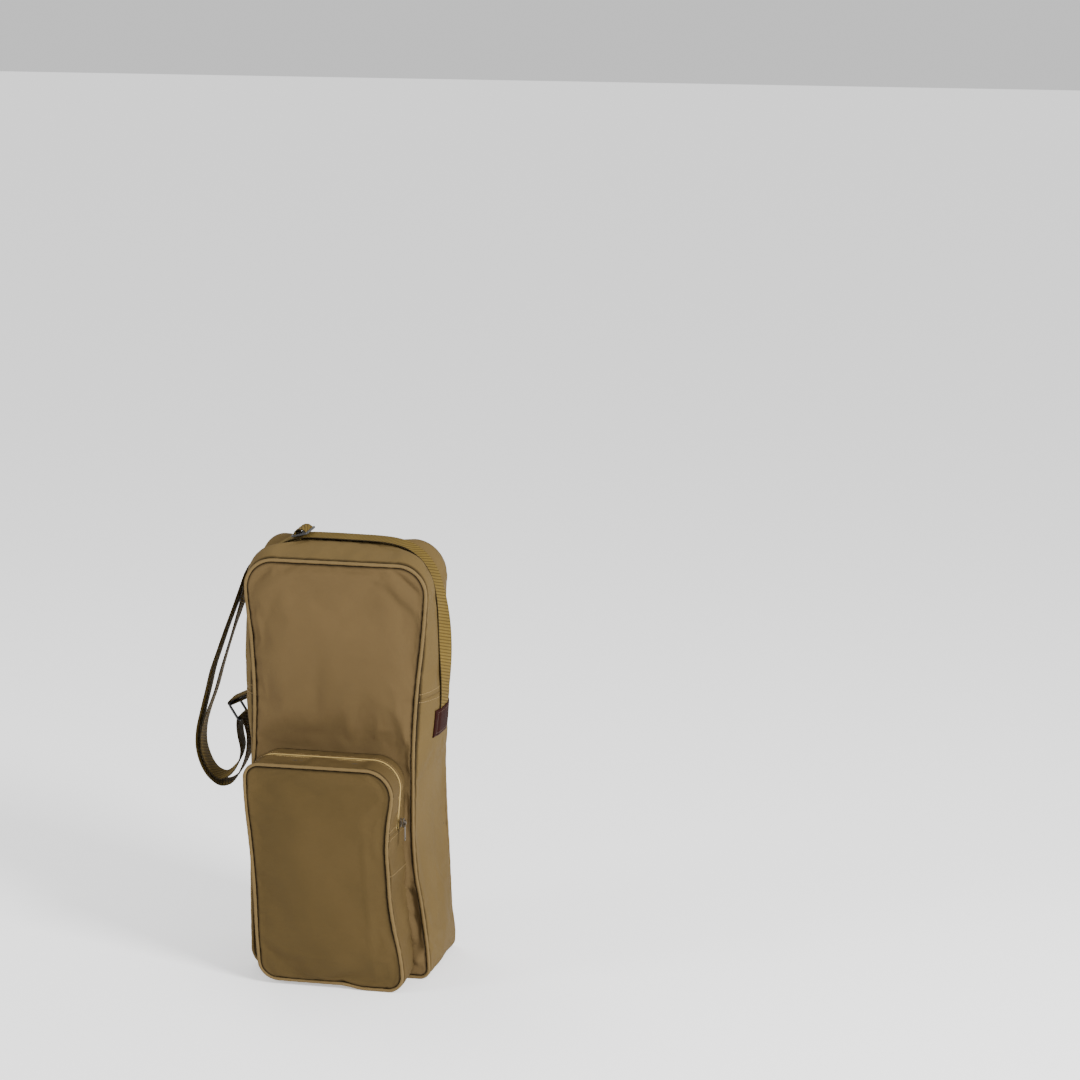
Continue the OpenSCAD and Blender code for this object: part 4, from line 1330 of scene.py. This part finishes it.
def round_corners(corners, r, n):
    """Points round each of the corners' centres (x, y, first angle in degrees)."""
    return [(x + r * math.cos(a), y + r * math.sin(a)) for x, y, a0 in corners
            for a in np.radians(np.linspace(a0, a0 + 90, n))]


def rounded(w, h, r, n=7, cy=0.0):
    """A rectangle w by h with round corners, as points."""
    x, y = w / 2 - r, h / 2 - r
    return round_corners([(x, cy + y, 0), (-x, cy + y, 90), (-x, cy - y, 180),
                          (x, cy - y, 270)], r, n)


# wire ring, its corners rounded
ring_dir = Vector((RING_OUT[0] - RING_IN[0], 0, RING_OUT[1] - RING_IN[1])) * MM
ring_len = ring_dir.length
ring_dir.normalize()
RING_HALF, RING_R, RING_TURN = 22.5 * MM, 2.0 * MM, 5.0 * MM
far, wide = ring_len - RING_TURN, RING_HALF - RING_TURN
loop = [[RING_IN[0] * MM + ring_dir.x * u, y, RING_IN[1] * MM + ring_dir.z * u]
        for u, y in round_corners([(far, wide, 0), (RING_TURN, wide, 90),
                                   (RING_TURN, -wide, 180), (far, -wide, 270)], RING_TURN, 9)]
ring_line = resample(np.array(loop + loop[:1]), 1.2 * MM)[0]
dress(sweep("wire_ring", ring_line[:-1], ring_section(RING_R, 16),
            (-ring_dir.z, 0, ring_dir.x), [BLACK], closed=True),
      "black_buckle", lambda o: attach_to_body(o, "ring"), "strap_ring")

# ---------------------------------------------------------------- moulded and cast pieces


def plate(name, loops, thick, bevel, mat, matrix):
    """A flat plate from an outer loop and any holes, its edges rounded, placed by matrix."""
    curve = bpy.data.curves.new(name, "CURVE")
    curve.dimensions, curve.fill_mode = "2D", "BOTH"
    curve.extrude, curve.bevel_depth, curve.bevel_resolution = thick / 2 - bevel, bevel, 3
    curve.offset = -bevel
    for loop in loops:
        s = curve.splines.new("POLY")
        s.points.add(len(loop) - 1)
        for p, q in zip(s.points, loop):
            p.co = (q[0], q[1], 0, 1)
        s.use_cyclic_u = True
    o = link_object(name, curve)
    me = bpy.data.meshes.new_from_object(
        o.evaluated_get(bpy.context.evaluated_depsgraph_get()))
    bpy.data.objects.remove(o, do_unlink=True)
    me.materials.clear()
    me.materials.append(mat)
    made = link_object(name, me)
    me.transform(matrix)
    me.polygons.foreach_set("use_smooth", np.full(len(me.polygons), True))
    fix_normals(me, 0.02 * MM)
    made.modifiers.new("corners", "WEIGHTED_NORMAL").keep_sharp = False
    return made


def axes(x, y, z, origin):
    m = Matrix((x, y, z)).transposed().to_4x4()
    m.translation = origin
    return m


# the sliding buckle on top: a plate with two slots, and webbing over its middle bar
BUCKLE_W, BUCKLE_L, BUCKLE_T = 46 * MM, 26 * MM, 3 * MM
BUCKLE_BAR, BUCKLE_SIDE, SLOT_L = 4 * MM, 3.5 * MM, 40 * MM
BUCKLE_TILT = math.radians(14)
BUCKLE_DROP = 1.3 * MM    # the webbing under it lies closer to the bag than the frame's
SLOT_W = (BUCKLE_L - BUCKLE_BAR - 2 * BUCKLE_SIDE) / 2
bx = Vector((math.cos(BUCKLE_TILT), 0, math.sin(BUCKLE_TILT)))
bz = Vector((-math.sin(BUCKLE_TILT), 0, math.cos(BUCKLE_TILT)))
buckle_lo, buckle_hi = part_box("strap_adjuster")
buckle_mid = Vector(((buckle_lo.x + buckle_hi.x) / 2, 0,
                     (buckle_lo.z + buckle_hi.z) / 2 - BUCKLE_DROP))
slots = [rounded(SLOT_L, SLOT_W, 1.6 * MM, cy=sy * (BUCKLE_BAR + SLOT_W) / 2) for sy in (-1, 1)]
# in the plate's own plane, X runs across the strap and Y along it
dress(plate("slide_buckle", [rounded(BUCKLE_W, BUCKLE_L, 3.2 * MM)] + slots, BUCKLE_T, 0.7 * MM,
            BLACK, axes(Vector((0, 1, 0)), bx, -bz, buckle_mid)),
      "black_buckle", on_adjuster, "strap_adjuster")

# places of the webbing over the bar: u along the buckle from its middle, w above it
wrap_path = [(buckle_mid + bx * u * MM + bz * w * MM).xz / MM for u, w in
             ((-9.4, -2.4), (-9.3, 0.4), (-8.4, 3.4), (-5.0, 6.4), (0, 7.4), (5.0, 6.2),
              (8.2, 3.2), (9.2, 0.2), (9.4, -2.4))]
dress(web("buckle_wrap", *spline(wrap_path, 0.5 * MM)), "strap_webbing", on_adjuster,
      "strap_adjuster_wrap")


def leather_patch(name, sign, off, node):
    """A stitched leather patch over the strap's root, following the bag's side."""
    lo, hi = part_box(node)
    yy, zz = np.meshgrid(np.linspace(lo.y, hi.y, 28), np.linspace(lo.z, hi.z, 26))
    x = bag_side(sign, zz, bag_station(yy))
    near = np.minimum(np.minimum(yy - lo.y, hi.y - yy), np.minimum(zz - lo.z, hi.z - zz))
    beside_web = smooth((np.abs(yy) - 18 * MM) / (6 * MM))
    face = off - 1.5 * MM * beside_web - 0.7 * MM * bell(near, 1.2 * MM) \
        - 0.3 * MM * bell(near - 3.2 * MM, 0.9 * MM)
    g = np.stack([x + sign * face, yy, zz], -1)
    out = np.array([sign, 0.0, 0.0])
    dress(cloth_piece(name, g, out, [LEATHER], 1.6 * MM), "leather_patch", on_root, node)
    k = 3          # the stitches run this many rows inside the edge
    loop = np.concatenate([g[k, k:-k], g[k:-k, -k - 1], g[-k - 1, -k - 1:k - 1:-1],
                           g[-k - 1:k - 1:-1, k]])
    dress(stitches(name + "_stitches", [(loop, out)], DARK_THREAD, 3.2 * MM, 2.3 * MM, 0.45 * MM),
          "leather_patch", on_root)


leather_patch("patch_right", 1, 4.0 * MM, "strap_patch_right")
leather_patch("patch_left", -1, 5.6 * MM, "strap_patch_left")

# ---------------------------------------------------------------- zip sliders and pullers
BAIL_OFF = (0.35 + 1.3 + 2.6 + 1.0) * MM      # from the band's face to the bail's outermost place
WINDOW_L = 6.4 * MM


def power_loop(n, point):
    """A closed outline from point(cos, sin) at n places, for rounded-off shapes."""
    return [point(math.cos(a), math.sin(a)) for a in np.linspace(0, FULL_TURN, n + 1)[:-1]]


def swell(v, power):
    return math.copysign(abs(v) ** power, v)


def slider_set(tag, slider_node, puller_node, sign, y_mid, slider_body, puller_body):
    """A zip slider with its bail, and a puller hung on it, on the bag's left or right."""
    lo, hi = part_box(slider_node)
    plo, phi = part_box(puller_node)
    out, up = Vector((sign, 0, 0)), Vector((0, 0, 1))
    across = up.cross(out)
    cloth = (hi.x if sign > 0 else lo.x) - sign * BAIL_OFF
    z0, length, width = lo.z, hi.z - lo.z, hi.y - lo.y

    def at(o, z):
        return Vector((cloth + sign * o * MM, y_mid, z))

    def tube(part, places, r):
        line = resample(np.array([at(o, z) for o, z in places], float), 0.5 * MM)[0]
        return sweep(tag + part, line, ring_section(r, 12), (0, 1, 0), [STEEL])

    def flat(part, loops, thick, bevel, middle):
        return plate(tag + part, loops, thick, bevel, STEEL, axes(across, up, out, middle))

    body_loop = power_loop(48, lambda c, s: (
        0.5 * width * swell(c, 0.7) * (0.80 + 0.20 * smooth(0.5 - 0.5 * s)),
        0.5 * length * swell(s, 0.8)))
    centre, post_z = z0 + length / 2, z0 + length - 2 * MM
    foot_z, head_z = z0 + 3.6 * MM, z0 + length - 3.0 * MM
    top = flat("_top", [body_loop], 1.3 * MM, 0.5 * MM, at(1.0, centre))
    under = flat("_under", [body_loop], 1.2 * MM, 0.4 * MM, at(-3.0, centre))
    post = tube("_post", [(-3.2, post_z), (0.8, post_z)], 0.3 * MM)
    bail = tube("_bail", [
        (1.2, foot_z), (3.4, foot_z), (4.5, foot_z + 0.7 * MM), (4.75, foot_z + 2.0 * MM),
        (4.75, head_z - 2.0 * MM), (4.5, head_z - 0.7 * MM), (3.4, head_z), (1.2, head_z)],
        0.5 * MM)
    for v in bail.data.vertices:
        v.co.y = y_mid + (v.co.y - y_mid) * 3.4
    dress(join(tag, [top, under, post, bail]), "slider_metal",
          lambda o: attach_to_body(o, slider_body), slider_node)
    # the puller: a flat tongue with a window at its foot and a bar that hangs in the bail
    p_mid = Vector(((plo.x + phi.x) / 2, y_mid, (plo.z + phi.z) / 2))
    p_len, p_wid = phi.z - plo.z, phi.y - plo.y
    loop = power_loop(64, lambda c, s: (
        p_wid / 2 * (0.78 + 0.22 * smooth((0.4 - s) / 1.2)) * swell(c, 0.45),
        p_len / 2 * swell(s, 0.6)))
    window = rounded(p_wid * 0.45, WINDOW_L, 1.2 * MM, 6, p_len / 2 - 1.7 * MM - WINDOW_L / 2)
    hole = power_loop(24, lambda c, s: (1.5 * MM * c, -p_len / 2 + 4.4 * MM + 1.5 * MM * s))
    tongue = flat("_puller", [loop, window, hole], 1.0 * MM, 0.3 * MM, p_mid)
    raised = flat("_puller_rib", [rounded(p_wid * 0.42, p_len * 0.36, 1.2 * MM)], 1.5 * MM,
                  0.3 * MM, p_mid - up * p_len * 0.09)
    dress(join(tag + "_puller", [tongue, raised]), "slider_metal",
          lambda o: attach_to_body(o, puller_body), puller_node)


slider_set("main_slider_set", "main_zip_slider", "main_zip_puller", -1, 0.0,
           "main_slider", "main_puller")
slider_set("pocket_slider_set", "pocket_zip_slider", "pocket_zip_puller", 1, POCKET_ZIP_Y,
           "pocket_slider", "pocket_puller")

# ---------------------------------------------------------------- seams
EDGE_SEAM = 4.2 * MM      # from a band's folded edge to its row of stitches


def sewn(name, lines, attach, slot="bag_canvas"):
    dress(stitches(name, lines, THREAD, 3.7 * MM, 2.8 * MM, 0.42 * MM), slot, attach)


def sewn_column(name, g, axis, k, *how):
    """Stitches along one column of a strip."""
    sewn(name, [(g[:, k], outward(g, axis)[:, k])], *how)


def nearest(ys, y):
    return int(np.argmin(np.abs(ys - y)))


sewn_column("seam_band_rear", rear_grid, BAG_AXIS, nearest(rear_ys, MAIN_EDGE + EDGE_SEAM),
            on_root)
sewn_column("seam_band_fore", fore_grid, BAG_AXIS, nearest(fore_ys, -MAIN_EDGE - EDGE_SEAM),
            on_flap)
sewn_column("seam_pocket_rear", pocket_back, POCKET_AXIS,
            nearest(back_ys, POCKET_ZIP_Y + BAND_EDGE + EDGE_SEAM), on_root, "pocket_canvas")
sewn_column("seam_pocket_fore", pocket_fore, POCKET_AXIS, len(pocket_fore_ys) - 3,
            on_pocket_flap, "pocket_canvas")


def cross_rows(g, z, axis, low, high, fall=0.0):
    """Seam lines across a strip at a height on each side, falling a little to the rear."""
    lines = []
    middle = g.shape[1] // 2
    both = np.concatenate([g, outward(g, axis)], -1)
    for side in (1, -1):
        rows = np.where(np.sign(g[:, middle, 0]) == side)[0]
        if g[rows[0], middle, 2] > g[rows[-1], middle, 2]:
            rows = rows[::-1]
        line = []
        for c in range(g.shape[1])[low:high]:
            aim = z - fall * (g[rows[0], c, 1] - g[rows[0], middle, 1])
            line.append(interp_rows(aim, g[rows, c, 2], both[rows, c]))
        line = np.array(line)
        lines.append((line[:, :3], line[:, 3:]))
    return lines


for name, g, axis, z, low, high, fall, attach, slot in (
        ("seam_cross_low", lower_grid, BAG_AXIS, FOLD_Z - 9 * MM, 2, -2, 0.07, on_root, "bag"),
        ("seam_cross_rear", rear_grid, BAG_AXIS, FOLD_Z + 8 * MM, 1, -2, 0.04, on_root, "bag"),
        ("seam_cross_fore", fore_grid, BAG_AXIS, FOLD_Z + 8 * MM, 2, -1, 0, on_flap, "bag"),
        ("seam_pocket_cross", pocket_low, POCKET_AXIS, POCKET_FOLD - 6 * MM, 2, -2, 0, on_root,
         "pocket"),
        ("seam_pocket_second", pocket_low, POCKET_AXIS, 182 * MM, 2, -2, 0, on_root, "pocket"),
        ("seam_pocket_cross_fore", pocket_fore, POCKET_AXIS, POCKET_FOLD + 7 * MM, 2, -1, 0,
         on_pocket_flap, "pocket")):
    sewn(name, cross_rows(g, z, axis, low, high, fall), attach, slot + "_canvas")

# ---------------------------------------------------------------- sheets


for piece, g in strips[3:5] + strips[:3] + strips[5:]:
    uv = grid_uv(g)
